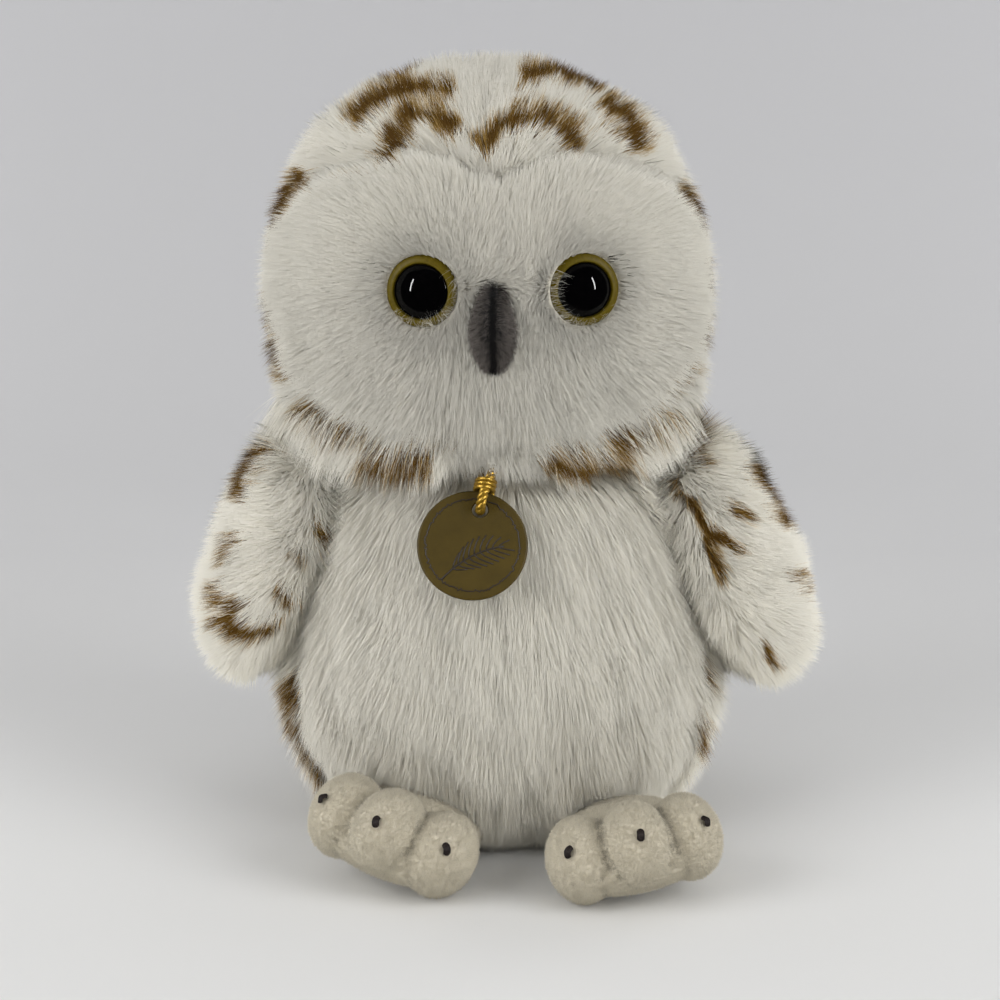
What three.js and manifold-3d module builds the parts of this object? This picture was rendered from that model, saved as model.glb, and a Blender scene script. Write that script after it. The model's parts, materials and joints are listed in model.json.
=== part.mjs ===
// A seated plush owl, as it comes apart on a bench: sewn fur panels over fibre filling, a pellet bag in
// the base, plastic safety eyes with their lock washers, a felted beak, and a round tag on a gold cord.
// Millimetres. +Z is up, the owl faces -Y, and the origin is on the floor at the centre of its base.
// Left and right are the owl's own, so its right side is at -X.
import * as THREE from "three";
import { mergeVertices } from "three/addons/utils/BufferGeometryUtils.js";
import Module from "manifold-3d";

const wasm = await Module();
wasm.setup();

// Clearances and overruns that every piece shares
const gap = 0.3; // between pieces that touch
const slack = 1; // between filling and the panels round it, facets and all
const overrun = 300; // how far a cutting block runs past the whole owl
const weld = 1e-4; // points of one geometry this close are one point
const degree = Math.PI / 180;

// Body: a pear that swells at the belly, cut flat at the floor and at the neck seam
const bodyWidth = 131;
const bodyDepth = 111;
const neckHeight = 118;
const bellyLean = 4; // how far the belly bulges forward
const bodyPanelThickness = 8; // knitted backing and standing pile
const bodyOutlineShares = [
  [0, -0.045], [0.45, -0.04], [0.72, 0.012], [0.885, 0.11], [0.975, 0.25], [1, 0.4],
  [0.965, 0.57], [0.87, 0.76], [0.76, 0.92], [0.66, 1.03], [0.5, 1.12], [0.25, 1.18], [0, 1.2],
];
const sideSeamY = -24; // where the white belly panel meets the barred back panel

// Base: a flat gusset, and the bag of pellets that weighs the owl down
const baseWidth = 72;
const baseDepth = 62;
const baseThickness = 4;
const bagWidth = 66;
const bagDepth = 56;
const bagHeight = 24;
const bagOutlineShares = [[0, 0], [0.8, 0], [1, 0.3], [0.94, 0.68], [0.66, 0.93], [0, 1]];

// Head: a wide round form whose hood runs down to the neck seam as a collar
const headWidth = 127;
const headDepth = 106;
const headHeight = 108; // from the neck seam to the crown
const headX = -3.5; // the head sits a little off the body's middle
const headY = -3;
const headPanelThickness = 8;
const headTurn = 20; // degrees that the head turns either way
const headOutlineShares = [
  [0, -0.12], [0.4, -0.1], [0.62, -0.03], [0.8, 0.04], [0.92, 0.14], [0.985, 0.26], [1, 0.4],
  [0.985, 0.53], [0.935, 0.66], [0.81, 0.79], [0.61, 0.89], [0.34, 0.965], [0, 1],
];

// Facial disc: two white half panels joined by a seam from brow to chin
const faceWidth = 120;
const faceHeight = 75;
const faceRise = 50.5; // from the neck seam to the disc's middle
const faceSquareness = 2.4; // 2 is an ellipse
const faceBackY = -12; // the disc ends here on the sides of the head
const browDip = 6; // how far the brow comes down in the middle
const browDipWidth = 11;

// Safety eyes: an iris ring, a domed pupil with its shank, and the lock washer behind the backing
const eyeDiameter = 20;
const eyeSpread = 23.4; // from the middle to one eye
const eyesX = 0.8;
const eyeRise = 50.4; // from the neck seam
const eyeTurn = 14 * degree; // outwards
const eyeTip = 4 * degree; // upwards
const backingThickness = 1.5;
const irisRimHeight = 3.2;
const irisRimDiameter = 16.6;
const irisEdgeHeight = 1.9;
const irisSeatHeight = 1.4;
const pupilDiameter = 14.8;
const pupilHeight = 7.8; // the dome's top above the backing
const pupilSkirt = 0.8; // the straight wall under the dome
const shankDiameter = 4.6;
const shankLength = 12;
const washerDiameter = 14;
const washerThickness = 2;
const washerHubDiameter = 8;
const washerHubHeight = 1.4;

// Beak: two felted halves over a small core, seamed down the middle
const beakX = -1.9;
const beakRise = 27.8; // from the neck seam to its lower end
const beakWidth = 12.8;
const beakDepth = 25;
const beakLength = 27;
const beakPanelThickness = 1.4;
const beakOutlineShares = [
  [0, 0], [0.34, 0.02], [0.66, 0.1], [0.9, 0.25], [1, 0.42], [0.97, 0.58], [0.82, 0.77], [0.5, 0.93],
  [0, 1],
];

// Wings: flat stuffed paddles sewn at the shoulder, barred outside and white inside
const wingLength = 80;
const wingChord = 48;
const wingThickness = 33;
const wingPanelThickness = 5.5;
const wingHingeInset = 17; // inside the body's widest point
const wingHingeY = -5;
const wingHingeBelow = 3; // under the neck seam
const wingStandOff = 7; // from the hinge to the wing's middle
const wingRootAbove = 7; // how far the root reaches above its hinge
const wingYaw = 17 * degree; // the front edge turns in towards the belly
const wingLift = 40; // degrees that a wing swings out from its rest
const wingTilt = { left: 24.5 * degree, right: 20 * degree };
const wingDrop = { left: 5, right: 1 }; // how far each shoulder has slipped down
const wingOutlineShares = [
  [0, 0], [0.46, 0.035], [0.8, 0.13], [0.97, 0.28], [1, 0.45], [0.93, 0.66], [0.8, 0.84], [0.6, 0.955],
  [0.3, 0.993], [0, 1],
];

// Tail: a short stuffed flap that lies on the floor behind
const tailLength = 46;
const tailWidth = 46;
const tailThickness = 15;
const tailPanelThickness = 4;
const tailRootInset = 15.5; // inside the body's back
const tailRootZ = 9.5;
const tailDroop = 3 * degree;
const tailOutlineShares = [
  [0, 0], [0.5, 0.03], [0.86, 0.16], [1, 0.38], [0.96, 0.66], [0.8, 0.9], [0.4, 1], [0, 1.01],
];

// Feet: three plump toes and a pad in short plush, each toe with an embroidered claw
const toeWidth = 20.5;
const toeLength = 28;
const toeHeight = 25;
const toeSpacing = 15.2;
const toeFan = 3 * degree;
const toeReach = 24.5; // from the ankle to a toe's centre
const middleToeLead = 5.3;
const middleToeLift = 2.2;
const padWidth = 40;
const padLength = 44;
const padHeight = 20;
const padReach = 8;
// The ball of the foot, which fills the creases between the toes
const ballWidth = 47;
const ballLength = 25;
const ballHeight = 18.5;
const ballReach = 26;
const ballDrop = 2.8;
const footPanelThickness = 2.4;
const footPitch = 11 * degree; // toes up
// Each ankle, with how far it is set inside the belly's front
const footPlace = {
  left: { x: 34.5, inset: 5.3, yaw: 9 * degree, roll: 9.5 * degree },
  right: { x: -21.7, inset: 10.9, yaw: 23 * degree, roll: 13 * degree },
};
const footSeamShare = -0.28; // the sole's seam, as a share of half the toe's height
const clawWidth = 3;
const clawHeight = 4.4;
const clawThickness = 2.4;
const clawRise = 28 * degree; // above the toe's tip
const clawTurn = 24 * degree; // round an outer toe's side

// Tag and its cord: a round leatherette disc on a cord that comes out of the neck seam under the collar
const tagDiameter = 31;
const tagThickness = 1.5;
const tagEdgeRound = 0.4;
const tagHoleDiameter = 4.6;
const tagHoleInset = 5.2; // from the rim to the hole's centre
const tagStandOff = 6; // from the neck seam's surface to the tag's middle
const tagTilt = 27 * degree; // the belly's slope
const tagRoll = 12 * degree; // the tag hangs a little to the owl's right
const cordDiameter = 2.8;
const cordExitX = -2.6;
const cordExitBelow = 1.7; // under the neck seam
// The cord's middle line from its exit, over the tag's rim, through the hole and back behind the tag.
// Y is out from the belly and Z is up along it, in the tag's frame.
const cordRoute = [
  [1.5, -0.6, 0], [1.5, -3.4, -0.8], [1.2, -6.2, -2.6], [0.8, -8.2, -5.6], [0.3, -9.3, -8.6],
  [0, -9.4, -11.4], [0, -8.2, -13.5], [0, -6, -14.2], [0, -3.9, -13.4], [-0.3, -3.1, -11],
  [-0.8, -3, -8.2], [-1.3, -3.2, -5.2], [-1.6, -2.6, -2.8], [-1.6, -0.6, -1.4],
];
const tagHole = { y: -tagStandOff, z: -14.2 };

// How finely each form is cut into facets
const profileSteps = 8; // finer rings where a place on a profile is looked up
const bodySides = 28;
const bodyRings = 13;
const fillSides = 18;
const fillRings = 8;
const limbSides = 16;
const limbRings = 10;
const limbFillSides = 12;
const limbFillRings = 6;
const toeSides = 14;
const toeRings = 8;
const toeFillSides = 10;
const toeFillRings = 5;
const roundSides = 20;
const domeRings = 4;
const beakSides = 12;
const beakRings = 7;
const clawSides = 6;
const clawRings = 4;
const faceSides = 40;
const tagSides = 40;
const cordSides = 8;
const cordSteps = 36;

// Colours seen in daylight
const colours = {
  white: 0xeeebe2,
  barred: 0xe6dccb,
  cream: 0xe2ddca,
  beak: 0x55565a,
  iris: 0x77681c,
  pupil: 0x08080a,
  washer: 0xd8d8d4,
  claw: 0x1a1410,
  tag: 0x6a5320,
  cord: 0xb8922a,
  fill: 0xf7f7f4,
  bag: 0xdedad0,
};

function finish(colour, roughness = 0.95) {
  return new THREE.MeshStandardMaterial({ color: colours[colour], roughness, metalness: 0 });
}

function solidOf(geometry) {
  const bare = geometry.clone();
  bare.deleteAttribute("normal");
  bare.deleteAttribute("uv");
  const merged = mergeVertices(bare, weld);
  return new wasm.Manifold(
    new wasm.Mesh({
      numProp: 3,
      vertProperties: merged.attributes.position.array,
      triVerts: new Uint32Array(merged.index.array),
    }),
  );
}

function meshOf(name, solid, material) {
  const made = solid.getMesh();
  const geometry = new THREE.BufferGeometry();
  geometry.setAttribute("position", new THREE.BufferAttribute(made.vertProperties, 3));
  geometry.setIndex(new THREE.BufferAttribute(made.triVerts, 1));
  const mesh = new THREE.Mesh(geometry, material);
  mesh.name = name;
  return mesh;
}

// Everything on one side of a level along an axis, for cutting
function beyond(axis, level, sign) {
  const place = new THREE.Vector3().setComponent("xyz".indexOf(axis), level + (sign * overrun) / 2);
  return solidOf(new THREE.BoxGeometry(overrun, overrun, overrun).translate(place.x, place.y, place.z));
}

// A solid as it lies in a group's own frame
function into(group, solid) {
  group.updateWorldMatrix(true, false);
  return solid.transform(group.matrixWorld.clone().invert().elements);
}

// A smooth profile from the bottom of the axis to its top, through shares of a half width and a height
function outline(shares, halfWidth, height, rings, thinner = 0) {
  const points = shares.map(([across, up]) => new THREE.Vector2(across * halfWidth, up * height));
  const smooth = new THREE.SplineCurve(points).getSpacedPoints(rings);
  return smooth.map((point, i) => {
    const along = smooth[Math.min(i + 1, rings)].clone().sub(smooth[Math.max(i - 1, 0)]).normalize();
    const onAxis = i === 0 || i === rings;
    return new THREE.Vector2(
      onAxis ? 0 : Math.max(point.x - thinner * along.y, 0),
      point.y + thinner * (onAxis ? Math.sign(along.x) : along.x),
    );
  });
}

// A profile turned about Z
function turned(profile, sides) {
  return new THREE.LatheGeometry(profile, sides).rotateX(Math.PI / 2);
}

// A turned profile made as deep in Y and as wide in X as the form, leaning as it rises
function stuffed(profile, sides, across, deep, lean = () => 0) {
  const geometry = turned(profile, sides);
  const place = geometry.attributes.position;
  for (let i = 0; i < place.count; i++) {
    const z = place.getZ(i);
    place.setXYZ(i, place.getX(i) * across, place.getY(i) * deep + lean(z), z);
  }
  return solidOf(geometry);
}

function lathed(points, sides) {
  return solidOf(turned(points.map(([r, z]) => new THREE.Vector2(r, z)), sides));
}

// Body
const bodyLean = (z) => -bellyLean * Math.sin(Math.PI * THREE.MathUtils.clamp(z / neckHeight, 0, 1));

function bodyForm(thinner, sides, rings) {
  const profile = outline(bodyOutlineShares, bodyWidth / 2, neckHeight, rings, thinner);
  return stuffed(profile, sides, 1, bodyDepth / bodyWidth, bodyLean);
}

const bodyOuter = bodyForm(0, bodySides, bodyRings)
  .subtract(beyond("z", 0, -1))
  .subtract(beyond("z", neckHeight - gap, 1));
const bodyRoom = bodyForm(bodyPanelThickness, bodySides, bodyRings);
const bodyKeepOut = bodyForm(-gap, bodySides, bodyRings)
  .subtract(beyond("z", neckHeight, 1))
  .add(solidOf(new THREE.BoxGeometry(overrun, overrun, overrun).translate(0, 0, -overrun / 2)));

function ellipticDisc(width, depth, bottom, top) {
  const disc = new THREE.CylinderGeometry(1, 1, top - bottom, roundSides).rotateX(Math.PI / 2);
  return solidOf(disc.scale(width / 2, depth / 2, 1).translate(0, 0, (top + bottom) / 2));
}

const baseHoleTop = bodyPanelThickness * 2;
const baseHole = ellipticDisc(baseWidth + 2 * gap, baseDepth + 2 * gap, -baseThickness, baseHoleTop);
const bodyShell = bodyOuter.subtract(bodyRoom).subtract(baseHole);
const bagProfile = (grow) => {
  const rim = outline(bagOutlineShares, bagWidth / 2, bagHeight, limbRings, -grow);
  return stuffed(rim, roundSides, 1, bagDepth / bagWidth);
};

const torso = new THREE.Group();
const basePanel = ellipticDisc(baseWidth, baseDepth, 0, baseThickness);
const bagLift = baseThickness + gap;
const pelletBag = bagProfile(0).translate([0, 0, bagLift]).subtract(beyond("z", bagLift, -1));
const bagRoom = bagProfile(gap).translate([0, 0, bagLift]);
const bodyFill = bodyForm(bodyPanelThickness + slack, fillSides, fillRings)
  .subtract(beyond("z", bagLift, -1))
  .subtract(beyond("z", neckHeight - gap, 1))
  .subtract(bagRoom);
torso.add(
  meshOf("body_front_panel", bodyShell.subtract(beyond("y", sideSeamY - gap / 2, 1)), finish("white")),
  meshOf("body_back_panel", bodyShell.subtract(beyond("y", sideSeamY + gap / 2, -1)), finish("barred")),
  meshOf("base_panel", basePanel, finish("white")),
  meshOf("pellet_bag", pelletBag, finish("bag")),
  meshOf("body_fill", bodyFill, finish("fill")),
);

// Head, in its own frame: the origin is on the neck seam under the head's middle
const head = new THREE.Group();
head.position.set(headX, headY, neckHeight);

function headForm(thinner, sides, rings) {
  const profile = outline(headOutlineShares, headWidth / 2, headHeight, rings, thinner);
  return stuffed(profile, sides, 1, headDepth / headWidth);
}

const belowHead = beyond("z", gap, -1);
const headOuter = headForm(0, bodySides, bodyRings).subtract(belowHead);
const headRoom = headForm(headPanelThickness, bodySides, bodyRings);
const headShell = headOuter.subtract(headRoom);
const headKeepOut = [-headTurn, 0, headTurn]
  .map((turn) => headForm(-gap, bodySides, bodyRings).rotate([0, 0, turn]))
  .reduce((all, one) => all.add(one))
  .translate([headX, headY, neckHeight]);

// The facial disc's outline, swept from the front to where the disc ends on the sides
function faceCutter(grow) {
  const points = Array.from({ length: faceSides }, (_, i) => {
    const turn = (2 * Math.PI * i) / faceSides;
    const [c, s] = [Math.cos(turn), Math.sin(turn)];
    const round = (v, half) => Math.sign(v) * Math.abs(v) ** (2 / faceSquareness) * half;
    const x = round(c, faceWidth / 2 + grow);
    const dip = s > 0 ? browDip * Math.exp(-((x / browDipWidth) ** 2)) : 0;
    return new THREE.Vector2(x, round(s, faceHeight / 2 + grow) - dip);
  });
  const swept = new THREE.ExtrudeGeometry(new THREE.Shape(points), { depth: overrun, bevelEnabled: false });
  return solidOf(swept.rotateX(Math.PI / 2).translate(0, faceBackY - headY, faceRise));
}

// The eye's own frame: Z points out along its shank, and Z = 0 is the front of the backing
function eyeFrame(side) {
  const frame = new THREE.Group();
  const x = eyesX + side * eyeSpread - headX;
  const out = new THREE.Vector3(
    side * Math.sin(eyeTurn) * Math.cos(eyeTip),
    -Math.cos(eyeTurn) * Math.cos(eyeTip),
    Math.sin(eyeTip),
  );
  const rings = outline(headOutlineShares, headWidth / 2, headHeight, bodyRings * profileSteps);
  const away = (point) => Math.abs(point.y - eyeRise);
  const ring = rings.reduce((best, point) => (away(point) < away(best) ? point : best));
  const onSurface = -Math.sqrt(ring.x ** 2 - x ** 2) * (headDepth / headWidth);
  const sunk = headPanelThickness - backingThickness;
  frame.position.set(x, onSurface, eyeRise).addScaledVector(out, -sunk);
  frame.quaternion.setFromUnitVectors(new THREE.Vector3(0, 0, 1), out);
  return frame;
}

function disc(diameter, bottom, top) {
  const made = new THREE.CylinderGeometry(diameter / 2, diameter / 2, top - bottom, roundSides);
  return solidOf(made.rotateX(Math.PI / 2).translate(0, 0, (top + bottom) / 2));
}

const irisBore = shankDiameter / 2 + gap;
const washerTop = -backingThickness - gap;

function irisSolid() {
  const edge = eyeDiameter / 2;
  const seat = pupilDiameter / 2 + gap;
  return lathed(
    [
      [irisBore, gap], [edge, gap], [edge, irisEdgeHeight], [irisRimDiameter / 2, irisRimHeight],
      [seat, irisRimHeight], [seat, irisSeatHeight], [irisBore, irisSeatHeight], [irisBore, gap],
    ],
    roundSides,
  );
}

function pupilSolid() {
  const half = pupilDiameter / 2;
  const foot = irisSeatHeight + gap;
  const rise = pupilHeight - foot - pupilSkirt;
  const dome = Array.from({ length: domeRings + 1 }, (_, i) => {
    const turn = (Math.PI / 2) * (i / domeRings);
    return [i === domeRings ? 0 : half * Math.cos(turn), foot + pupilSkirt + rise * Math.sin(turn)];
  });
  const shank = shankDiameter / 2;
  const stem = [[0, -shankLength], [shank, -shankLength], [shank, foot], [half, foot]];
  return lathed([...stem, ...dome], roundSides);
}

function washerSolid() {
  const bore = shankDiameter / 2 + gap;
  const [rim, hub] = [washerDiameter / 2, washerHubDiameter / 2];
  const low = washerTop - washerThickness;
  return lathed(
    [
      [bore, low - washerHubHeight], [hub, low - washerHubHeight], [hub, low], [rim, low],
      [rim, washerTop], [bore, washerTop], [bore, low - washerHubHeight],
    ],
    roundSides,
  );
}

const eyes = { left: eyeFrame(1), right: eyeFrame(-1) };
const eyeHoles = Object.values(eyes).map((frame) =>
  disc(eyeDiameter + 2 * gap, 0, headPanelThickness * 3)
    .add(disc(shankDiameter + 2 * gap, -headPanelThickness * 2, headPanelThickness))
    .add(disc(washerDiameter + 2 * gap, -headPanelThickness * 2, -backingThickness))
    .transform((frame.updateMatrix(), frame.matrix.elements)),
);
const washerPockets = Object.values(eyes).map((frame) =>
  disc(washerDiameter + 2 * gap, washerTop - washerThickness - washerHubHeight - gap, 0)
    .add(disc(shankDiameter + 2 * gap, -shankLength - gap, 0))
    .transform((frame.updateMatrix(), frame.matrix.elements)),
);

// The beak, upright in the head's frame, with its middle on the front of the face
const faceFront = -headDepth / 2;
function beakForm(thinner) {
  const profile = outline(beakOutlineShares, beakWidth / 2, beakLength, beakRings, thinner);
  return stuffed(profile, beakSides, 1, beakDepth / beakWidth, () => faceFront + headPanelThickness / 2)
    .translate([beakX - headX, 0, beakRise]);
}

const headFillOuter = headForm(headPanelThickness + slack, fillSides, fillRings);
const headFill = washerPockets.reduce(
  (fill, pocket) => fill.subtract(pocket),
  headFillOuter.subtract(belowHead),
);
const beakOuter = beakForm(0).subtract(headRoom);
const beakRoom = beakForm(beakPanelThickness);
const beakShell = beakOuter.subtract(beakRoom);
const beakCore = beakForm(beakPanelThickness + gap).subtract(headRoom);
const beakKeepOut = beakForm(-gap);

const hood = headShell.subtract(faceCutter(gap / 2)).subtract(beakKeepOut);
const face = [...eyeHoles, beakKeepOut].reduce(
  (panel, cut) => panel.subtract(cut),
  headShell.intersect(faceCutter(-gap / 2)),
);
const faceSeamX = beakX - headX;
const leftSide = beyond("x", faceSeamX + gap / 2, 1);
const rightSide = beyond("x", faceSeamX - gap / 2, -1);
head.add(
  meshOf("hood_panel", hood, finish("barred")),
  meshOf("face_panel_left", face.intersect(leftSide), finish("white")),
  meshOf("face_panel_right", face.intersect(rightSide), finish("white")),
  meshOf("head_fill", headFill, finish("fill")),
  meshOf("beak_panel_left", beakShell.intersect(leftSide), finish("beak")),
  meshOf("beak_panel_right", beakShell.intersect(rightSide), finish("beak")),
  meshOf("beak_fill", beakCore, finish("fill")),
);
for (const [side, frame] of Object.entries(eyes)) {
  frame.add(
    meshOf(`eye_iris_${side}`, irisSolid(), finish("iris", 0.5)),
    meshOf(`eye_pupil_${side}`, pupilSolid(), finish("pupil", 0.05)),
    meshOf(`eye_washer_${side}`, washerSolid(), finish("washer", 0.4)),
  );
  head.add(frame);
}

// A stuffed paddle that hangs from the origin: its root reaches a little above, its tip is at the bottom
function paddle(shares, length, above, acrossX, acrossY, thinner, sides, rings) {
  const profile = outline(shares, acrossY / 2, length, rings, thinner);
  return stuffed(profile, sides, acrossX / acrossY, 1).translate([0, 0, above - length]);
}

// Wings, each in a frame on its shoulder hinge, whose Y runs along the seam
function wing(side, sign) {
  const frame = new THREE.Group();
  const hingeX = bodyWidth / 2 - wingHingeInset;
  frame.position.set(sign * hingeX, wingHingeY, neckHeight - wingHingeBelow - wingDrop[side]);
  frame.rotation.set(0, -sign * wingTilt[side], -sign * wingYaw, "ZYX");
  const form = (thinner, sides, rings) =>
    paddle(wingOutlineShares, wingLength, wingRootAbove, wingThickness, wingChord, thinner, sides, rings)
      .translate([sign * wingStandOff, 0, 0]);
  const atRest = into(frame, bodyKeepOut.add(headKeepOut));
  const lifted = [wingLift / 2, wingLift].map((lift) => atRest.rotate([0, sign * lift, 0]));
  const cut = lifted.reduce((all, one) => all.add(one), atRest);
  const room = form(wingPanelThickness, limbSides, limbRings);
  const shell = form(0, limbSides, limbRings).subtract(room).subtract(cut);
  const fill = form(wingPanelThickness + slack, limbFillSides, limbFillRings).subtract(cut);
  const outward = beyond("x", sign * (wingStandOff + gap / 2), sign);
  const inward = beyond("x", sign * (wingStandOff - gap / 2), -sign);
  frame.add(
    meshOf(`wing_outer_panel_${side}`, shell.intersect(outward), finish("barred")),
    meshOf(`wing_inner_panel_${side}`, shell.intersect(inward), finish("white")),
    meshOf(`wing_fill_${side}`, fill, finish("fill")),
  );
  return frame;
}

// Tail, in a frame at its root whose -Z points back and a little down
const tail = new THREE.Group();
tail.position.set(0, bodyDepth / 2 - tailRootInset, tailRootZ);
tail.rotation.set(Math.PI / 2 - tailDroop, 0, 0);
{
  const form = (thinner, sides, rings) =>
    paddle(tailOutlineShares, tailLength, 0, tailWidth, tailThickness, thinner, sides, rings);
  const cut = into(tail, bodyKeepOut);
  const room = form(tailPanelThickness, limbSides, limbRings);
  const shell = form(0, limbSides, limbRings).subtract(room).subtract(cut);
  const fill = form(tailPanelThickness + slack, limbFillSides, limbFillRings).subtract(cut);
  tail.add(
    meshOf("tail_upper_panel", shell.intersect(beyond("y", gap / 2, 1)), finish("barred")),
    meshOf("tail_lower_panel", shell.intersect(beyond("y", -gap / 2, -1)), finish("white")),
    meshOf("tail_fill", fill, finish("fill")),
  );
}

// Feet, each in a frame at its ankle whose -Y points along the middle toe
function ellipsoid([width, length, height], thinner, sides, rings) {
  return new THREE.SphereGeometry(1, sides, rings)
    .rotateX(Math.PI / 2)
    .scale(width / 2 - thinner, length / 2 - thinner, height / 2 - thinner);
}

const toes = { inner: -1, middle: 0, outer: 1 };

function toeFrame(place, outward) {
  const frame = new THREE.Group();
  const middle = place === 0;
  const [lead, lift] = middle ? [middleToeLead, middleToeLift] : [0, 0];
  frame.position.set(outward * place * toeSpacing, -toeReach - lead, lift);
  frame.rotation.z = outward * place * toeFan;
  frame.updateMatrix();
  return frame;
}

function footForm(outward, thinner, sides, rings) {
  const part = (size) => ellipsoid(size, thinner, sides, rings);
  const pad = part([padWidth, padLength, padHeight]).translate(0, -padReach, 0);
  const ball = part([ballWidth, ballLength, ballHeight]).translate(0, -ballReach, -ballDrop);
  const toe = solidOf(part([toeWidth, toeLength, toeHeight]));
  return Object.values(toes)
    .map((place) => toe.transform(toeFrame(place, outward).matrix.elements))
    .reduce((all, one) => all.add(one), solidOf(pad).add(solidOf(ball)));
}

function foot(side, sign) {
  const { x, inset, yaw, roll } = footPlace[side];
  const frame = new THREE.Group();
  frame.rotation.set(-footPitch, -sign * roll, sign * yaw, "ZYX");
  frame.updateMatrix();
  const outer = footForm(sign, 0, toeSides, toeRings);
  const lowest = outer.transform(frame.matrix.elements).boundingBox().min[2];
  frame.position.set(x, inset - bodyDepth / 2, -lowest);
  const cut = into(frame, bodyKeepOut);
  const room = footForm(sign, footPanelThickness, toeSides, toeRings);
  const shell = outer.subtract(room).subtract(cut);
  const seam = (footSeamShare * toeHeight) / 2;
  const fill = footForm(sign, footPanelThickness + slack, toeFillSides, toeFillRings).subtract(cut);
  frame.add(
    meshOf(`foot_upper_${side}`, shell.intersect(beyond("z", seam + gap / 2, 1)), finish("cream")),
    meshOf(`foot_sole_${side}`, shell.intersect(beyond("z", seam - gap / 2, -1)), finish("cream")),
    meshOf(`foot_fill_${side}`, fill, finish("fill")),
  );
  const skin = footForm(sign, -gap, toeSides, toeRings);
  for (const [name, place] of Object.entries(toes)) {
    const turn = sign * place * clawTurn;
    const knot = ellipsoid([clawWidth, clawThickness, clawHeight], 0, clawSides, clawRings)
      .rotateX(-clawRise)
      .rotateZ(turn)
      .translate(
        (toeWidth / 2) * Math.sin(turn) * Math.cos(clawRise),
        (-toeLength / 2) * Math.cos(turn) * Math.cos(clawRise),
        (toeHeight / 2) * Math.sin(clawRise),
      );
    const claw = solidOf(knot).transform(toeFrame(place, sign).matrix.elements).subtract(skin);
    frame.add(meshOf(`claw_${name}_${side}`, claw, finish("claw", 0.7)));
  }
  return frame;
}

// Tag and cord, in a frame at the cord's exit whose -Z runs down the belly and whose -Y points off it
const tagFrame = new THREE.Group();
{
  const rings = outline(bodyOutlineShares, bodyWidth / 2, neckHeight, bodyRings * profileSteps);
  const exitZ = neckHeight - cordExitBelow;
  const ring = rings.find((point) => point.x > bodyWidth / 4 && point.y > exitZ);
  const y = -Math.sqrt(ring.x ** 2 - cordExitX ** 2) * (bodyDepth / bodyWidth) + bodyLean(exitZ);
  tagFrame.position.set(cordExitX, y, exitZ);
  tagFrame.rotation.set(-tagTilt, tagRoll, 0, "XYZ");
}

function tagSolid() {
  const half = tagThickness / 2;
  const rim = tagDiameter / 2;
  const flat = rim - tagEdgeRound;
  const plate = lathed(
    [
      [0, -half], [flat, -half], [rim, tagEdgeRound - half],
      [rim, half - tagEdgeRound], [flat, half], [0, half],
    ],
    tagSides,
  );
  const hole = disc(tagHoleDiameter, -tagThickness, tagThickness).translate([0, rim - tagHoleInset, 0]);
  return plate.subtract(hole).rotate([90, 0, 0]).translate([0, tagHole.y, tagHole.z - rim + tagHoleInset]);
}

function cordSolid() {
  const points = cordRoute.map((point) => new THREE.Vector3(...point));
  const path = new THREE.CatmullRomCurve3(points, false, "centripetal");
  const section = new THREE.Shape(
    Array.from({ length: cordSides }, (_, i) => {
      const turn = (2 * Math.PI * i) / cordSides;
      return new THREE.Vector2(Math.cos(turn), Math.sin(turn)).multiplyScalar(cordDiameter / 2);
    }),
  );
  return solidOf(new THREE.ExtrudeGeometry(section, { extrudePath: path, steps: cordSteps }));
}

tagFrame.add(
  meshOf("tag_cord", cordSolid(), finish("cord", 0.6)),
  meshOf("tag_disc", tagSolid(), finish("tag", 0.6)),
);

const owl = new THREE.Group();
owl.add(torso, head, tail, tagFrame);
owl.add(wing("left", 1), wing("right", -1), foot("left", 1), foot("right", -1));

export default owl;
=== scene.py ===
import json
import math
from functools import partial

import bmesh
import bpy
import numpy as np
from mathutils import Matrix, Vector
from mathutils.bvhtree import BVHTree
from mathutils.kdtree import KDTree


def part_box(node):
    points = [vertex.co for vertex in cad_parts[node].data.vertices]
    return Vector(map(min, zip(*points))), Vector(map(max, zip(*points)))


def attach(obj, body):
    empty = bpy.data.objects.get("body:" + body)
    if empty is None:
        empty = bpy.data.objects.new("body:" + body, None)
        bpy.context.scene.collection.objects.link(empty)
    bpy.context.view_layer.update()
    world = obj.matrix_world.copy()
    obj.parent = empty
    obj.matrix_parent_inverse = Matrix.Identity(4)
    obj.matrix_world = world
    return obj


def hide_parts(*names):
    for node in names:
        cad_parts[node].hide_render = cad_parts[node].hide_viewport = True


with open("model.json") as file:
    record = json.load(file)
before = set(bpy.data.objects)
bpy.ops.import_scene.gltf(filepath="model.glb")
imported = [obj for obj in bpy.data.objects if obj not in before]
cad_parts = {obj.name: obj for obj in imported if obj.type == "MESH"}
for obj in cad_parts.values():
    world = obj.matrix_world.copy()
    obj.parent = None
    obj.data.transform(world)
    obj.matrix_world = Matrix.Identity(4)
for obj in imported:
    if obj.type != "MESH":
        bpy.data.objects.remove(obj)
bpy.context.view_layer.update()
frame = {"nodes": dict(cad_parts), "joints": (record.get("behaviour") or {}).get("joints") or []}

# The look of a seated plush owl: long fur drawn as fine strands over sewn skins, glossy safety eyes, a felted
# beak, velvety feet with stitched claws, and a leatherette tag on a twisted gold cord.
# Metres, with the owl facing -Y. Left and right are the owl's own.

MM = 0.001
CM = 10 * MM
SEED = 7
SIDES = {"left": 1, "right": -1}
scene = bpy.context.scene
joints = {joint["name"]: joint for joint in frame["joints"]}


def add_object(name, data):
    made = bpy.data.objects.new(name, data)
    scene.collection.objects.link(made)
    return made


# Camera

FRAME_PX = 1000
ELEVATION = math.radians(15)
DISTANCE = 0.65
AIM = np.array([0, 0, 0.096])
VIEW_WIDTH = 0.304  # what the frame spans at the aim
SENSOR = 36

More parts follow.
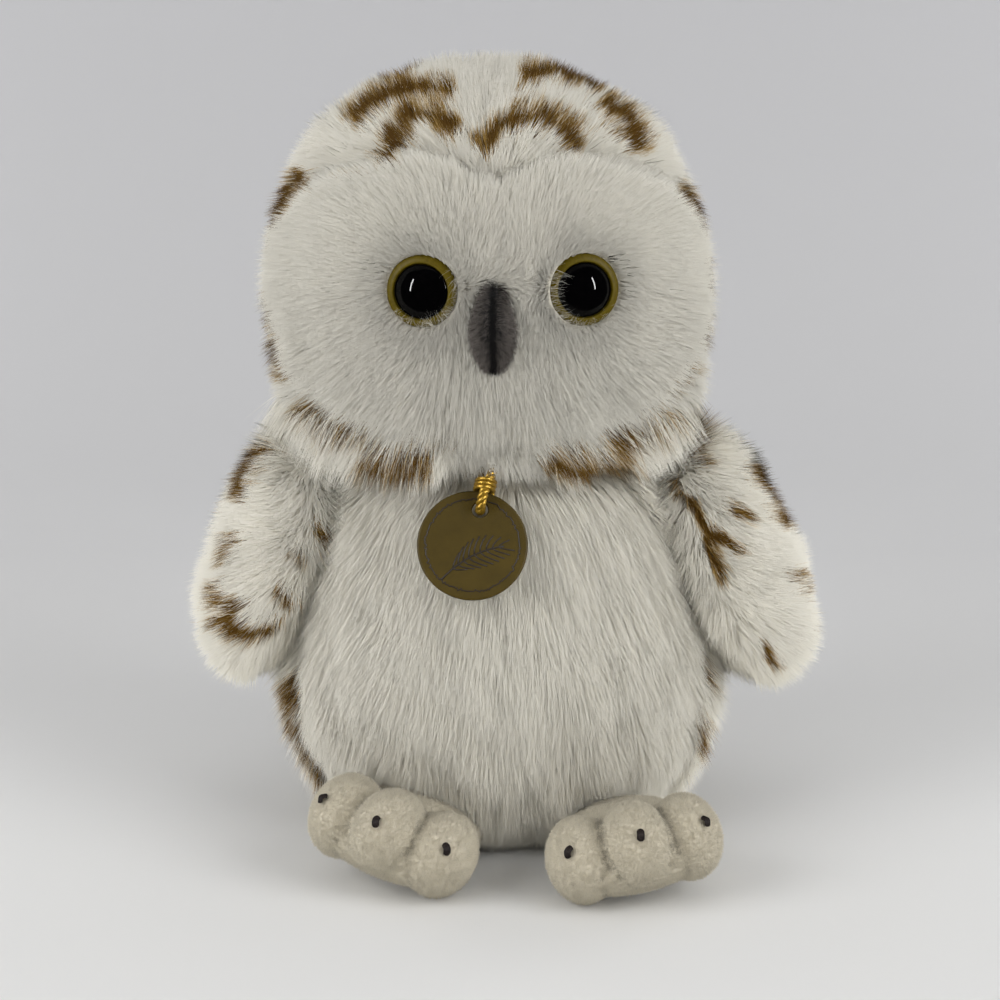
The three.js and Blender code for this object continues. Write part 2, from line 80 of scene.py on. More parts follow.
forward = np.array([0, math.cos(ELEVATION), -math.sin(ELEVATION)])
upward = np.array([0, math.sin(ELEVATION), math.cos(ELEVATION)])

camera = add_object("camera", bpy.data.cameras.new("camera"))
camera.data.sensor_width = SENSOR
camera.data.lens = SENSOR * DISTANCE / VIEW_WIDTH
camera.data.clip_end = 20
camera.location = AIM - forward * DISTANCE
camera.rotation_euler = (math.pi / 2 - ELEVATION, 0, 0)
scene.camera = camera


def to_pixels(points):
    """Where points fall in the photograph's frame."""
    offset = points - AIM
    scale = FRAME_PX * DISTANCE / VIEW_WIDTH / (DISTANCE + offset @ forward)
    middle = FRAME_PX / 2
    return np.stack([middle + offset[:, 0] * scale, middle - (offset @ upward) * scale], 1)


# Helpers for numbers


def unit(vectors):
    return vectors / np.maximum(np.linalg.norm(vectors, axis=1), 1e-9)[:, None]


def share_of(distance, reach):
    """How far along a reach a distance is, from 0 to 1."""
    return np.clip(distance / reach, 0, 1)


def bell(distance, width):
    """One where the distance is nothing, falling off smoothly over a width."""
    return np.exp(-((distance / width) ** 2))


def circle(steps):
    """The cosines and sines of even steps round a circle."""
    turns = [2 * math.pi * i / steps for i in range(steps)]
    return [(math.cos(turn), math.sin(turn)) for turn in turns]


def wobble(points, size, seed):
    """Smooth noise from -1 to 1 whose features are about one size across."""
    rng = np.random.default_rng(seed)
    total = np.zeros(len(points))
    for _ in range(5):
        direction = rng.normal(size=3)
        direction /= np.linalg.norm(direction)
        turns = 2 * math.pi / size / rng.uniform(0.7, 1.6)
        total += np.sin(points @ direction * turns + rng.uniform(0, 6.3))
    return total / 2.6


# Helpers for CAD nodes and meshes


def column(items, key, kind=np.float32):
    """One attribute of a mesh's items, with a row of three for each."""
    flat = np.zeros(len(items) * 3, kind)
    items.foreach_get(key, flat)
    return flat.reshape(-1, 3)


def points_of(*nodes):
    """The corners of CAD nodes, as one array."""
    return np.concatenate([column(frame["nodes"][node].data.vertices, "co") for node in nodes]).astype(float)


def box_of(*nodes):
    """The lower corner, upper corner and middle of the box round CAD nodes."""
    boxes = np.array([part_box(node) for node in nodes])
    low, high = boxes[:, 0].min(axis=0), boxes[:, 1].max(axis=0)
    return low, high, (low + high) / 2


def mesh_of(name, points, faces):
    mesh = bpy.data.meshes.new(name)
    mesh.from_pydata(points, [], faces)
    mesh.polygons.foreach_set("use_smooth", [True] * len(mesh.polygons))
    mesh.update()
    return mesh


def dressed(name, mesh, material, slot, body, *nodes):
    """A visible piece that rides on a body, in place of the CAD nodes named."""
    mesh.materials.append(material)
    piece = add_object(name, mesh)
    if nodes:
        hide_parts(*nodes)
    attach(piece, body)
    return piece


def joined(name, parts, *dress):
    """A dressed piece made of parts, each a (points, faces) pair."""
    points, faces = [], []
    for some_points, some_faces in parts:
        faces += [[i + len(points) for i in face] for face in some_faces]
        points += some_points
    return dressed(name, mesh_of(name, points, faces), *dress)


def lathe(profile, steps, matrix):
    """A (points, faces) pair of a (radius, height) profile turned about Z, then moved by a matrix."""
    points, rings = [], []
    for radius, height in profile:
        spokes = circle(steps) if radius else [(0, 0)]
        rings.append(range(len(points), len(points) + len(spokes)))
        points += [tuple(matrix @ Vector((radius * c, radius * s, height))) for c, s in spokes]
    faces = []
    for low, high in zip(rings, rings[1:]):
        for i in range(steps):
            j = (i + 1) % steps
            corners = [low[i % len(low)], low[j % len(low)], high[j % len(high)], high[i % len(high)]]
            faces.append(list(dict.fromkeys(corners)))
    return points, faces


def frames_along(path, start):
    """Two ways across a path at each of its points, turning no more than the path does."""
    directions = unit(np.gradient(path, axis=0))
    side = np.cross(directions[0], start)
    made = []
    for direction in directions:
        side = side - direction * (side @ direction)
        side = side / np.linalg.norm(side)
        made.append((side, np.cross(direction, side)))
    return made


def tube(path, radius, sides):
    """A (points, faces) pair of a tube with closed ends along a path."""
    path = np.asarray(path, float)
    points, faces = [], []
    for centre, (side, other) in zip(path, frames_along(path, (0.3, 0.5, 0.8))):
        points += [tuple(centre + radius * (c * side + s * other)) for c, s in circle(sides)]
    last = (len(path) - 1) * sides
    for ring in range(0, last, sides):
        for i in range(sides):
            j = (i + 1) % sides
            faces.append([ring + i, ring + j, ring + sides + j, ring + sides + i])
    faces.append(list(range(sides))[::-1])
    faces.append(list(range(last, last + sides)))
    return points, faces


# Materials


def new_material(name, **sockets):
    """A material, its nodes, and its surface shader with its sockets set."""
    made = bpy.data.materials.new(name)
    made.use_nodes = True
    shader = made.node_tree.nodes["Principled BSDF"]
    for socket, value in sockets.items():
        shader.inputs[socket.replace("_", " ")].default_value = value
    return made, made.node_tree, shader


def node(tree, kind, inputs=(), **settings):
    """A node with its settings, and its inputs set to values or linked to sockets."""
    made = tree.nodes.new("ShaderNode" + kind)
    for key, value in settings.items():
        setattr(made, key, value)
    for key, value in dict(inputs).items():
        if isinstance(value, bpy.types.NodeSocket):
            tree.links.new(value, made.inputs[key])
        else:
            made.inputs[key].default_value = value
    return made


def reckoned(tree, operation, *values):
    """What a Math node makes of values or sockets."""
    return node(tree, "Math", dict(enumerate(values)), operation=operation).outputs[0]


def ramp(tree, factor, stops):
    """A colour ramp through (place, colour) stops."""
    made = node(tree, "ValToRGB", {"Fac": factor})
    band = made.color_ramp
    while len(band.elements) < len(stops):
        band.elements.new(0.5)
    for element, (place, colour) in zip(band.elements, stops):
        element.position = place
        element.color = (*colour, 1)
    return made.outputs["Color"]


def mixed(tree, factor, first, second, **settings):
    """Two colours mixed. A Mix node takes colours at its sockets 6 and 7, and gives one at 2."""
    return node(tree, "Mix", {0: factor, 6: first, 7: second}, data_type="RGBA", **settings).outputs[2]


def texture(tree, kind, scale, detail, rough=0.5):
    """A texture in a piece's own space."""
    inputs = {"Vector": node(tree, "TexCoord").outputs["Object"], "Scale": scale, "Detail": detail}
    return node(tree, kind, {**inputs, "Roughness": rough}).outputs[0]


def mottled(name, stops, grain, relief=(), strength=0.5, depth=0.2 * MM, **sockets):
    """A material coloured by noise of one grain, and embossed by another texture where relief names it."""
    made, tree, shader = new_material(name, **sockets)
    tree.links.new(ramp(tree, texture(tree, "TexNoise", *grain), stops), shader.inputs["Base Color"])
    if relief:
        bump = node(tree, "Bump", {"Height": texture(tree, *relief), "Strength": strength, "Distance": depth})
        tree.links.new(bump.outputs["Normal"], shader.inputs["Normal"])
    return made


def fur_material(name, pale, dyes):
    """Strands coloured by their Strand attribute: its red is how far they are dyed, its green differs from
    strand to strand and also carries painted shade, and its blue runs from root to tip."""
    made, tree, shader = new_material(
        name, Roughness=0.8, Specular_IOR_Level=0.05, Sheen_Weight=0.02, Sheen_Roughness=0.5
    )
    strand = node(tree, "VertexColor", layer_name="Strand")
    red, green, blue = node(tree, "SeparateColor", {"Color": strand.outputs["Color"]}).outputs
    cover = node(tree, "MapRange", {"Value": red, "From Max": 0.35}).outputs["Result"]
    shade = node(tree, "MapRange", {"Value": green, "To Min": 0.6, "To Max": 1.03}).outputs["Result"]
    colour = mixed(tree, cover, ramp(tree, blue, pale), ramp(tree, red, dyes))
    grey = node(tree, "CombineColor", {i: shade for i in range(3)}).outputs["Color"]
    tree.links.new(mixed(tree, 1.0, colour, grey, blend_type="MULTIPLY"), shader.inputs["Base Color"])
    return made


def backing_material(name, colour, depth):
    """Dense underfur: a soft mottled surface that shows only between strands."""
    stops = [(0.3, tuple(part * depth for part in colour)), (0.7, colour)]
    return mottled(name, stops, (260, 4), ("TexNoise", 1400, 3), Roughness=0.9, Specular_IOR_Level=0.1,
                   Sheen_Weight=0.2)


WHITE_STOPS = [(0.0, (0.86, 0.8, 0.65)), (0.4, (0.92, 0.88, 0.765)), (1.0, (0.94, 0.912, 0.82))]
BROWN_STOPS = [
    (0.0, (0.8, 0.62, 0.33)), (0.35, (0.5, 0.32, 0.1)), (0.7, (0.17, 0.088, 0.012)),
    (1.0, (0.1, 0.047, 0.004)),
]
CREAM_STOPS = [(0.0, (0.66, 0.6, 0.46)), (1.0, (0.8, 0.735, 0.59))]
CHARCOAL_STOPS = [(0.0, (0.03, 0.027, 0.025)), (1.0, (0.2, 0.176, 0.158))]
SEAM_STOPS = [(0.0, (0.02, 0.018, 0.017)), (1.0, (0.012, 0.011, 0.011))]
THREAD_STOPS = [(0.3, (0.009, 0.006, 0.006)), (0.75, (0.035, 0.024, 0.02))]
IRIS_STOPS = [(0.3, (0.085, 0.06, 0.0025)), (0.55, (0.115, 0.084, 0.004)), (0.8, (0.15, 0.112, 0.008))]
PUPIL_STOPS = [(0.3, (0.0008, 0.0008, 0.001)), (0.7, (0.0016, 0.0014, 0.0016))]
GOLD_STOPS = [(0.3, (0.16, 0.085, 0.003)), (0.55, (0.34, 0.2, 0.012)), (0.8, (0.62, 0.41, 0.05))]
LEATHER_STOPS = [(0.3, (0.061, 0.04, 0.003)), (0.7, (0.078, 0.051, 0.0045))]
BURNT_STOPS = [(0.3, (0.016, 0.009, 0.004)), (0.7, (0.03, 0.018, 0.007))]
WASHER_STOPS = [(0.3, (0.62, 0.62, 0.6)), (0.7, (0.72, 0.72, 0.7))]

long_fur = fur_material("long_fur", WHITE_STOPS, BROWN_STOPS)
foot_plush = fur_material("foot_plush", CREAM_STOPS, CREAM_STOPS)
beak_plush = fur_material("beak_plush", CHARCOAL_STOPS, SEAM_STOPS)
underfur = backing_material("underfur", (0.86, 0.82, 0.7), 0.9)
foot_backing = backing_material("foot_backing", (0.68, 0.62, 0.49), 0.96)
beak_backing = backing_material("beak_backing", (0.02, 0.02, 0.021), 0.6)
fill_material = backing_material("fibre_fill", (0.86, 0.86, 0.83), 0.85)
thread = mottled("claw_thread", THREAD_STOPS, (2600, 2), ("TexNoise", 2600, 2), depth=0.3 * MM, Roughness=0.6,
                 Specular_IOR_Level=0.1)
iris_material = mottled("iris_plastic", IRIS_STOPS, (900, 5, 0.7), Roughness=0.5, Specular_IOR_Level=0.06)
pupil_material = mottled("pupil_plastic", PUPIL_STOPS, (500, 2), Roughness=0.03, Specular_IOR_Level=0.08)
washer_material = mottled("washer_plastic", WASHER_STOPS, (300, 2), Roughness=0.45)
cord_material = mottled("gold_cord", GOLD_STOPS, (3200, 3), ("TexNoise", 3200, 3), Roughness=0.4,
                        Metallic=0.5, Specular_IOR_Level=0.4)
tag_material = mottled("tag_leatherette", LEATHER_STOPS, (160, 4), ("TexVoronoi", 1500, 0), 0.25,
                       Roughness=0.55, Specular_IOR_Level=0.1)
engraving_material = mottled("tag_engraving", BURNT_STOPS, (1200, 3), Roughness=0.6, Specular_IOR_Level=0.3)


# Skins: the sewn forms that the pile stands on

WRAP_FINENESS = 6
WRAP_REACH = 0.2
# How often a form is smoothed, and then its normals, where it is a hull or is wrapped round its nodes
HULL_ROUNDS = (12, 2)
WRAP_ROUNDS = (3, 7)


def wrap_round(source, nodes):
    """A skin drawn in from outside on to nodes, towards their middle."""
    solids = bmesh.new()
    for name in nodes:
        solids.from_mesh(frame["nodes"][name].data)
    surface = BVHTree.FromBMesh(solids)
    corners = points_of(*nodes)
    middle = Vector((corners.min(axis=0) + corners.max(axis=0)) / 2)
    bmesh.ops.create_icosphere(source, subdivisions=WRAP_FINENESS, radius=1)
    for vert in source.verts:
        direction = vert.co.normalized()
        hit = surface.ray_cast(middle + direction * WRAP_REACH, -direction)[0]
        vert.co = hit if hit is not None else middle
    solids.free()


class Skin:
    """A smooth form a little inside its CAD panels, with its triangles as arrays for planting strands."""

    def __init__(self, name, body, nodes, inset, voxel, material=underfur, slot="white_fur", convex=True,
                 shape=None, fill=0.6):
        source = bmesh.new()
        if convex:
            for point in points_of(*nodes):
                source.verts.new(point)
            bmesh.ops.convex_hull(source, input=source.verts, use_existing_faces=False)
            loose = [v for v in source.verts if not v.link_faces]
            bmesh.ops.delete(source, geom=loose, context="VERTS")
        else:
            wrap_round(source, nodes)
        mesh = bpy.data.meshes.new(name)
        source.to_mesh(mesh)
        source.free()
        piece = add_object(name, mesh)
        form_rounds, normal_rounds = HULL_ROUNDS if convex else WRAP_ROUNDS
        for kind, settings in (
            ("REMESH", {"mode": "VOXEL", "voxel_size": voxel}),
            ("SMOOTH", {"factor": 0.5, "iterations": form_rounds}),
            ("DISPLACE", {"mid_level": 0, "strength": -inset}),
        ):
            modifier = piece.modifiers.new(kind, kind)
            for key, value in settings.items():
                setattr(modifier, key, value)
        bpy.context.view_layer.update()
        mesh = bpy.data.meshes.new_from_object(piece.evaluated_get(bpy.context.evaluated_depsgraph_get()))
        piece.modifiers.clear()
        piece.data = mesh

        self.points = column(mesh.vertices, "co").astype(float)
        if shape:
            self.points = shape(self.points)
            mesh.vertices.foreach_set("co", self.points.astype(np.float32).ravel())
        mesh.polygons.foreach_set("use_smooth", [True] * len(mesh.polygons))
        mesh.update()
        mesh.calc_loop_triangles()
        self.triangles = column(mesh.loop_triangles, "vertices", np.int32)
        self.normals = column(mesh.vertex_normals, "vector").astype(float)
        start, end = np.concatenate([self.triangles[:, [i, (i + 1) % 3]] for i in range(3)]).T

        def gathered(values):
            """The sum of values at the neighbours of each corner."""
            return np.stack([np.bincount(start, values[end, i], len(values)) for i in range(3)], 1)

        count = np.bincount(start, minlength=len(self.points))[:, None]
        dip = gathered(self.points) / np.maximum(count, 1) - self.points
        self.hollow = (dip * self.normals).sum(axis=1)
        for _ in range(normal_rounds):
            self.normals = unit(self.normals + gathered(self.normals))
        mesh.materials.clear()
        mesh.materials.append(material)
        self.body = body
        self.slot = slot
        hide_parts(*nodes)
        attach(piece, body)


# Pile: strands planted on a skin

BROWN_LEVELS = 8
SHADE_LEVELS = 16
FLOOR_ROOM = 0.5 * MM
PLAIN_SHADE = 0.87
OUTLOOK_RISE = 0.27
UNDERSIDE_SHARE = 0.05
EDGE_SEARCH = 0.1
EDGE_BLUR = 0.04
# How large the patches are over which the pile turns, and is longer, lifted or brighter
TURN_PATCH = 0.022
LENGTH_PATCH = 0.016
LIFT_PATCH = 0.012
SHADE_PATCH = 0.009


def scatter(skin, density, where, rng):
    """Roots spread over a skin, their normals, and how hollow the skin is there."""
    corners = skin.points[skin.triangles]
    cross = np.cross(corners[:, 1] - corners[:, 0], corners[:, 2] - corners[:, 0])
    area = np.linalg.norm(cross, axis=1) / 2
    if where:
        near = where(corners.mean(axis=1), unit(skin.normals[skin.triangles].mean(axis=1)))
        area = area * (near > -EDGE_SEARCH)
    count = int(area.sum() / MM**2 * density)
    pick = np.searchsorted(np.cumsum(area) / area.sum(), rng.random(count))
    pick = np.minimum(pick, len(area) - 1)
    a, b = rng.random(count), rng.random(count)
    fold = a + b > 1
    a[fold], b[fold] = 1 - a[fold], 1 - b[fold]
    weights = np.stack([1 - a - b, a, b], 1)[:, :, None]
    root = (corners[pick] * weights).sum(axis=1)
    normal = unit((skin.normals[skin.triangles[pick]] * weights).sum(axis=1))
    hollow = (skin.hollow[skin.triangles[pick]] * weights[:, :, 0]).sum(axis=1)
    if where:
        kept = where(root, normal) > rng.uniform(-EDGE_BLUR, EDGE_BLUR, count)
        root, normal, hollow = root[kept], normal[kept], hollow[kept]
    return root, normal, hollow


def planted(name, skin, points, pattern, share, sideways, brown, shade, shading, material, slot):
    """One piece of pile from its strands' points, with their colours as an attribute and as UV places."""
    count, each = points.shape[:2]
    corners = (pattern[None] + (np.arange(count) * each)[:, None, None]).reshape(-1)
    mesh = bpy.data.meshes.new(name)
    mesh.vertices.add(count * each)
    mesh.vertices.foreach_set("co", points.astype(np.float32).ravel())
    mesh.loops.add(len(corners))
    mesh.loops.foreach_set("vertex_index", corners.astype(np.int32))
    mesh.polygons.add(len(corners) // 3)
    mesh.polygons.foreach_set("loop_start", np.arange(0, len(corners), 3, dtype=np.int32))
    mesh.update(calc_edges=True)
    mesh.polygons.foreach_set("use_smooth", [True] * len(mesh.polygons))

    shade_level = (np.clip(shade, 0, 0.999) * SHADE_LEVELS).astype(int)
    values = np.ones((count, each, 4), np.float32)
    values[:, :, 0] = brown
    values[:, :, 1] = (shade_level / (SHADE_LEVELS - 1))[:, None]
    values[:, :, 2] = share[None]
    strand = mesh.color_attributes.new("Strand", "FLOAT_COLOR", "POINT")
    strand.data.foreach_set("color", values.ravel())

    level = np.round(brown[:, pattern].mean(axis=2) * (BROWN_LEVELS - 1))
    cell = np.repeat(level * SHADE_LEVELS + shade_level[:, None], 3, axis=1)
    across = (cell + 0.5 + sideways[pattern.ravel()][None]) / (BROWN_LEVELS * SHADE_LEVELS)
    along = np.repeat((0.02 + 0.96 * share[pattern.ravel()])[None], count, axis=0)
    layer = mesh.uv_layers.new(name="OFBake")
    layer.data.foreach_set("uv", np.stack([across, along], 2).astype(np.float32).ravel())
    mesh.normals_split_custom_set_from_vertices(shading.reshape(-1, 3))
    return dressed(name, mesh, material, slot, skin.body)


def front_first(skin, root, facing_way, along):
    """One for strands whose front is seen from beside the piece, and minus one for those to turn over."""
    middle = (skin.points.min(axis=0) + skin.points.max(axis=0)) / 2
    outlook = unit((root - middle) * np.array([1, 1, 0]))
    outlook[:, 2] = OUTLOOK_RISE
    front = facing_way - along * (facing_way * along).sum(axis=1)[:, None]
    return np.where((front * outlook).sum(axis=1) < 0, -1, 1)


def grow(name, skin, density, length, lean, comb, where, dye=None, shorter=None, material=long_fur,
         slot=None, width=0.24 * MM, clump=1.5 * MM, pull=0.3, sway=14, frizz=0.1, roll=0.15, steps=2,
         painted_shade=None, ruffle=8, flatter=None, seed=1):
    """Plants one piece of pile on a skin.

    density is strands to the square millimetre, length a strand's, and lean its angles from upright at root
    and tip. comb gives the way it lies, where keeps roots, dye is how brown the pile is, and shorter scales
    length. painted_shade is painted shade: how much less bright the pile is drawn. ruffle is how unevenly it
    stands, and flatter how many degrees more it leans. Strands are drawn towards guides about clump apart,
    by pull at their tips.
    """
    rng = np.random.default_rng(SEED * 1000 + seed)
    root, normal, _ = scatter(skin, density, where, rng)
    count = len(root)
    lie = comb(root)
    lie = unit(lie - normal * (lie * normal).sum(axis=1)[:, None])
    side = np.cross(normal, lie)
    turn = np.radians(sway) * wobble(root, TURN_PATCH, seed + 11)
    turn = turn + np.radians(sway * 0.55) * rng.normal(size=count)
    lie = unit(lie * np.cos(turn)[:, None] + side * np.sin(turn)[:, None])
    side = np.cross(normal, lie)

    size = length * rng.uniform(0.74, 1.12, count) * (1 + 0.06 * wobble(root, LENGTH_PATCH, seed + 23))
    size = size * (shorter(root) if shorter else 1)
    root_lean, tip_lean = np.radians(lean[0]), np.radians(lean[1])
    lift = np.radians(5) * wobble(root, LIFT_PATCH, seed + 31) + np.radians(ruffle) * rng.normal(size=count)
    lift = lift + np.radians(flatter(root) if flatter else 0)
    curl = rng.normal(size=count) * frizz
    path = [root]
    for step in range(steps):
        share = (step + 0.5) / steps
        angle = root_lean + (tip_lean - root_lean) * share**0.8 + lift
        direction = normal * np.cos(angle)[:, None] + lie * np.sin(angle)[:, None]
        direction += side * (curl * share * 2)[:, None]
        path.append(path[-1] + unit(direction) * (size / steps)[:, None])
    path = np.stack(path, 1)

    # Locks: each strand is drawn towards the nearest guide
    guides = rng.permutation(count)[: max(1, int(count / max(1, density * (clump / MM) ** 2 * 3.1)))]
    tree = KDTree(len(guides))
    for order, guide in enumerate(guides):
        tree.insert(root[guide], order)
    tree.balance()
    shifted = root + rng.normal(size=root.shape) * clump * 0.25
    nearest = guides[np.array([tree.find(p)[1] for p in shifted])]
    amount = (np.arange(steps + 1) / steps) ** 1.3 * pull
    amount = amount[None, :, None] * rng.uniform(0.55, 1.1, count)[:, None, None]
    path = path - (path - path[nearest]) * amount
    path[:, :, 2] = np.maximum(path[:, :, 2], FLOOR_ROOM)
    outward = unit(root - root[nearest] + normal * clump * 1.1)

    # Ribbons: a left and a right edge that meet at the tip
    along = unit(np.gradient(path, axis=1).reshape(-1, 3)).reshape(path.shape)
    facing_way = normal + rng.normal(size=(count, 3)) * roll
    across = np.cross(along, facing_way[:, None, :])
    across = across / np.maximum(np.linalg.norm(across, axis=2), 1e-6)[:, :, None]
    taper = (1 - (np.arange(steps + 1) / steps) ** 2)[None, :, None]
    half = width / 2 * rng.uniform(0.75, 1.2, count)[:, None, None] * taper
    half = half * front_first(skin, root, facing_way, along[:, -2])[:, None, None]
    left, right = path - across * half, path + across * half
    rows = np.stack([left[:, :-1], right[:, :-1]], 2).reshape(count, -1, 3)
    points = np.concatenate([rows, path[:, -1:]], 1)
    each = 2 * steps + 1
    pattern = []
    for low in range(0, each - 3, 2):
        pattern += [[low, low + 1, low + 3], [low, low + 3, low + 2]]
    pattern = np.array(pattern + [[each - 3, each - 2, each - 1]])

    share = np.minimum(np.arange(each) // 2 / steps, 1.0)
    brown = np.zeros((count, each))
    if dye:
        level = dye(path[:, -2] * 0.35 + path[:, -1] * 0.65, normal)
        level = np.clip(level + rng.normal(size=count) * 0.12 * (level > 0.02), 0, 1)
        brown = level[:, None] * (0.6 + 0.4 * np.minimum(share * 2, 1))
    shade = rng.normal(PLAIN_SHADE, 0.045, count) + 0.027 * wobble(root, SHADE_PATCH, seed + 41)
    # Painted shade: strands are drawn darker by painted_shade
    shade = shade - (painted_shade(root) if painted_shade else 0)
    sideways = np.where(np.arange(each) % 2 == 0, -0.25, 0.25)
    sideways[-1] = 0
    lit_way = unit(normal + outward * 0.06)
    lit_way[:, 2] = np.where(lit_way[:, 2] < 0, lit_way[:, 2] * UNDERSIDE_SHARE, lit_way[:, 2])
    shading = np.repeat(unit(lit_way)[:, None], each, axis=1)
    return planted(name, skin, points, pattern, share, sideways, brown, shade, shading, material,
                   slot or skin.slot)


NAP_DENSITY = 11
NAP_LENGTH = 1.2 * MM
NAP_RADIUS = 0.1 * MM
NAP_LEAN = 0.8
# How much painted shade the skin's creases give the nap
NAP_CREASE_SHADE = 8


def nap(name, skin, material, seed):
    """Plants short velvety pile on a skin: three-sided spikes, with painted shade where the skin is creased.
    """
    rng = np.random.default_rng(SEED * 1000 + seed)
    root, normal, hollow = scatter(skin, NAP_DENSITY, None, rng)
    count = len(root)
    tilted = unit(normal + rng.normal(size=(count, 3)) * NAP_LEAN)
    side = unit(np.cross(tilted, rng.normal(size=(count, 3))))
    other = np.cross(tilted, side)
    size = NAP_LENGTH * rng.uniform(0.6, 1.1, count)
    spokes = np.stack([side * c + other * s for c, s in circle(3)], 1)
    foot = root[:, None] + spokes * NAP_RADIUS - normal[:, None] * NAP_RADIUS
    points = np.concatenate([foot, (root + tilted * size[:, None])[:, None]], 1)
    points[:, :, 2] = np.maximum(points[:, :, 2], FLOOR_ROOM)
    shading = np.concatenate([normal[:, None] + spokes * 0.6, normal[:, None]], 1)
    # Painted shade in the creases: strands are drawn darker where the skin is hollow
    shade = rng.normal(PLAIN_SHADE, 0.17, count) - np.clip(hollow / MM * NAP_CREASE_SHADE, 0, 0.8)
    return planted(name, skin, points, np.array([[0, 1, 3], [1, 2, 3], [2, 0, 3]]), np.array([0, 0, 0, 1.0]),
                   np.array([-0.25, 0, 0.25, 0]), np.zeros((count, 4)), shade, shading, material, skin.slot)


# Bars: brown crescents, placed where the photograph shows them and in rows elsewhere.
# Each bar is its half width, then x and y along its route, in the photograph's pixels.

HOOD_BARS_PX = [
    (9, 386, 160, 389, 130, 404, 113, 432, 110, 450, 124),
    (9, 486, 138, 503, 118, 535, 110, 565, 119, 580, 138), (9, 352, 112, 372, 98, 400, 86, 446, 86),
    (6, 385, 70, 410, 62), (8, 528, 70, 560, 68, 600, 80),
    (9, 612, 104, 632, 118, 645, 142), (5, 340, 182, 362, 176), (8, 296, 178, 280, 196, 274, 218, 276, 246),
    (9, 262, 300, 270, 318, 284, 336), (10, 268, 352, 284, 366, 306, 376), (7, 686, 192, 702, 208, 704, 228),
    (6, 704, 318, 702, 340), (5, 706, 262, 710, 290), (8, 692, 368, 670, 388, 650, 402),
    (9, 300, 416, 326, 434, 362, 438), (8, 404, 430, 428, 438, 452, 440), (8, 362, 470, 388, 476, 424, 474),
    (9, 556, 466, 590, 476, 630, 472), (7, 626, 452, 660, 436, 684, 424),
]
WING_BARS_PX = {
    "left": [
        (8, 702, 408, 712, 432, 710, 462), (7, 668, 488, 690, 500, 700, 520, 716, 540, 738, 548),
        (8, 760, 470, 776, 492, 788, 520), (7, 706, 540, 722, 560, 724, 576), (5, 802, 572, 808, 592),
        (6, 770, 650, 778, 668), (6, 740, 508, 754, 520),
    ],
    "right": [
        (8, 262, 446, 246, 456, 238, 480, 236, 496), (6, 318, 536, 332, 548, 328, 560),
        (6, 322, 466, 340, 470), (5, 226, 540, 218, 562), (6, 212, 586, 210, 606),
        (7, 276, 596, 292, 612, 312, 612), (8, 216, 622, 236, 640, 256, 636, 276, 630),
        (6, 222, 602, 228, 622, 248, 640), (5, 290, 560, 300, 566),
    ],
}
BACK_BARS_PX = [
    (7, 282, 688, 287, 722), (9, 286, 728, 300, 744, 314, 768, 322, 788), (6, 708, 668, 714, 690),
    (7, 708, 728, 702, 756),
]
HOOD_BAR_WIDTH = 1.0
WING_BAR_WIDTH = 0.7
RAGGED_PX = 5
RAGGED_SIZE = 0.007
ROUND_RADIUS = 58 * MM  # of the hood and of the body, for the rows of bars round them


def pixel_bars(points, bars, wide):
    """How far inside the photograph's bars points are, from 0 to 1."""
    ragged = np.stack([wobble(points, RAGGED_SIZE, 3), wobble(points, RAGGED_SIZE, 4)], 1)
    places = to_pixels(points) + RAGGED_PX * ragged
    total = np.zeros(len(points))
    for width, *route in bars:
        line = np.array(route, float).reshape(-1, 2)
        nearest = np.full(len(points), 1e9)
        for start, step in zip(line, np.diff(line, axis=0)):
            share = np.clip((places - start) @ step / (step @ step), 0, 1)
            nearest = np.minimum(nearest, np.linalg.norm(places - start - share[:, None] * step, axis=1))
        total = np.maximum(total, np.clip(1.5 - nearest / (width * wide), 0, 1))
    return total


def row_bars(across, along, wide, tall, seed):
    """Staggered crescents on a grid of cells, wide by tall, in two surface lengths."""
    row = np.floor(along / tall)
    shifted = across / wide + 0.5 * (row % 2)
    column = np.floor(shifted)
    mix = np.sin(row * 12.9898 + column * 78.233 + seed) * 43758.5453
    chance = mix - np.floor(mix)
    other = np.sin(row * 39.425 + column * 17.17 + seed) * 24634.6345
    tilt = other - np.floor(other) - 0.5
    u = (shifted - column - 0.5) * wide
    v = (along / tall - row - 0.5) * tall - tilt * u * 0.5 - (chance - 0.5) * tall * 0.25
    reach = wide * (0.26 + 0.12 * chance)
    arch = tall * 0.26 - (u / reach) ** 2 * tall * 0.42
    inside = np.clip(1.6 - np.abs(v - arch) / (tall * 0.1), 0, 1) * share_of(reach - np.abs(u), reach * 0.3)
    return inside * (chance > 0.12)


def split_by_view(points, normals, bars, wide, hidden):
    """The photograph's bars where the camera sees the surface, and rows of them elsewhere."""
    ray = unit(np.array(camera.location)[None] - points)
    seen = share_of((ray * normals).sum(axis=1) + 0.05, 0.12)
    return pixel_bars(points, bars, wide) * seen + hidden * (1 - seen)


def around(points, centre):
    return np.arctan2(points[:, 0] - centre[0], -(points[:, 1] - centre[1]))


def lying(points, way, spread, middle=0):
    """One way, and a little out to the sides."""
    total = np.repeat(np.array([way], float), len(points), axis=0)
    total[:, 0] = (points[:, 0] - middle) / spread
    return total


# Head

face_low, face_high, face_middle = box_of("face_panel_left", "face_panel_right")
head_low, head_high, head_middle = box_of("hood_panel")
_, beak_high, beak_middle = box_of("beak_panel_left", "beak_panel_right")
eye_middles = {side: box_of(f"eye_iris_{side}")[2] for side in SIDES}

FACE_FUR_INSET = np.array([0, 0, 4 * MM])
face_half = (face_high - face_low) / 2 - FACE_FUR_INSET
EYE_HOLLOW = 5 * MM
EYE_HOLLOW_REACH = 14 * MM
SEAM_HOLLOW = 2.5 * MM
SEAM_REACH = 7 * MM
FACE_PAD = 2.5 * MM
RIM_DIP = 4.5 * MM
BROW_DIP = 8 * MM
BROW_DIP_WIDTH = 11 * MM
FACE_SQUARENESS = 2.4


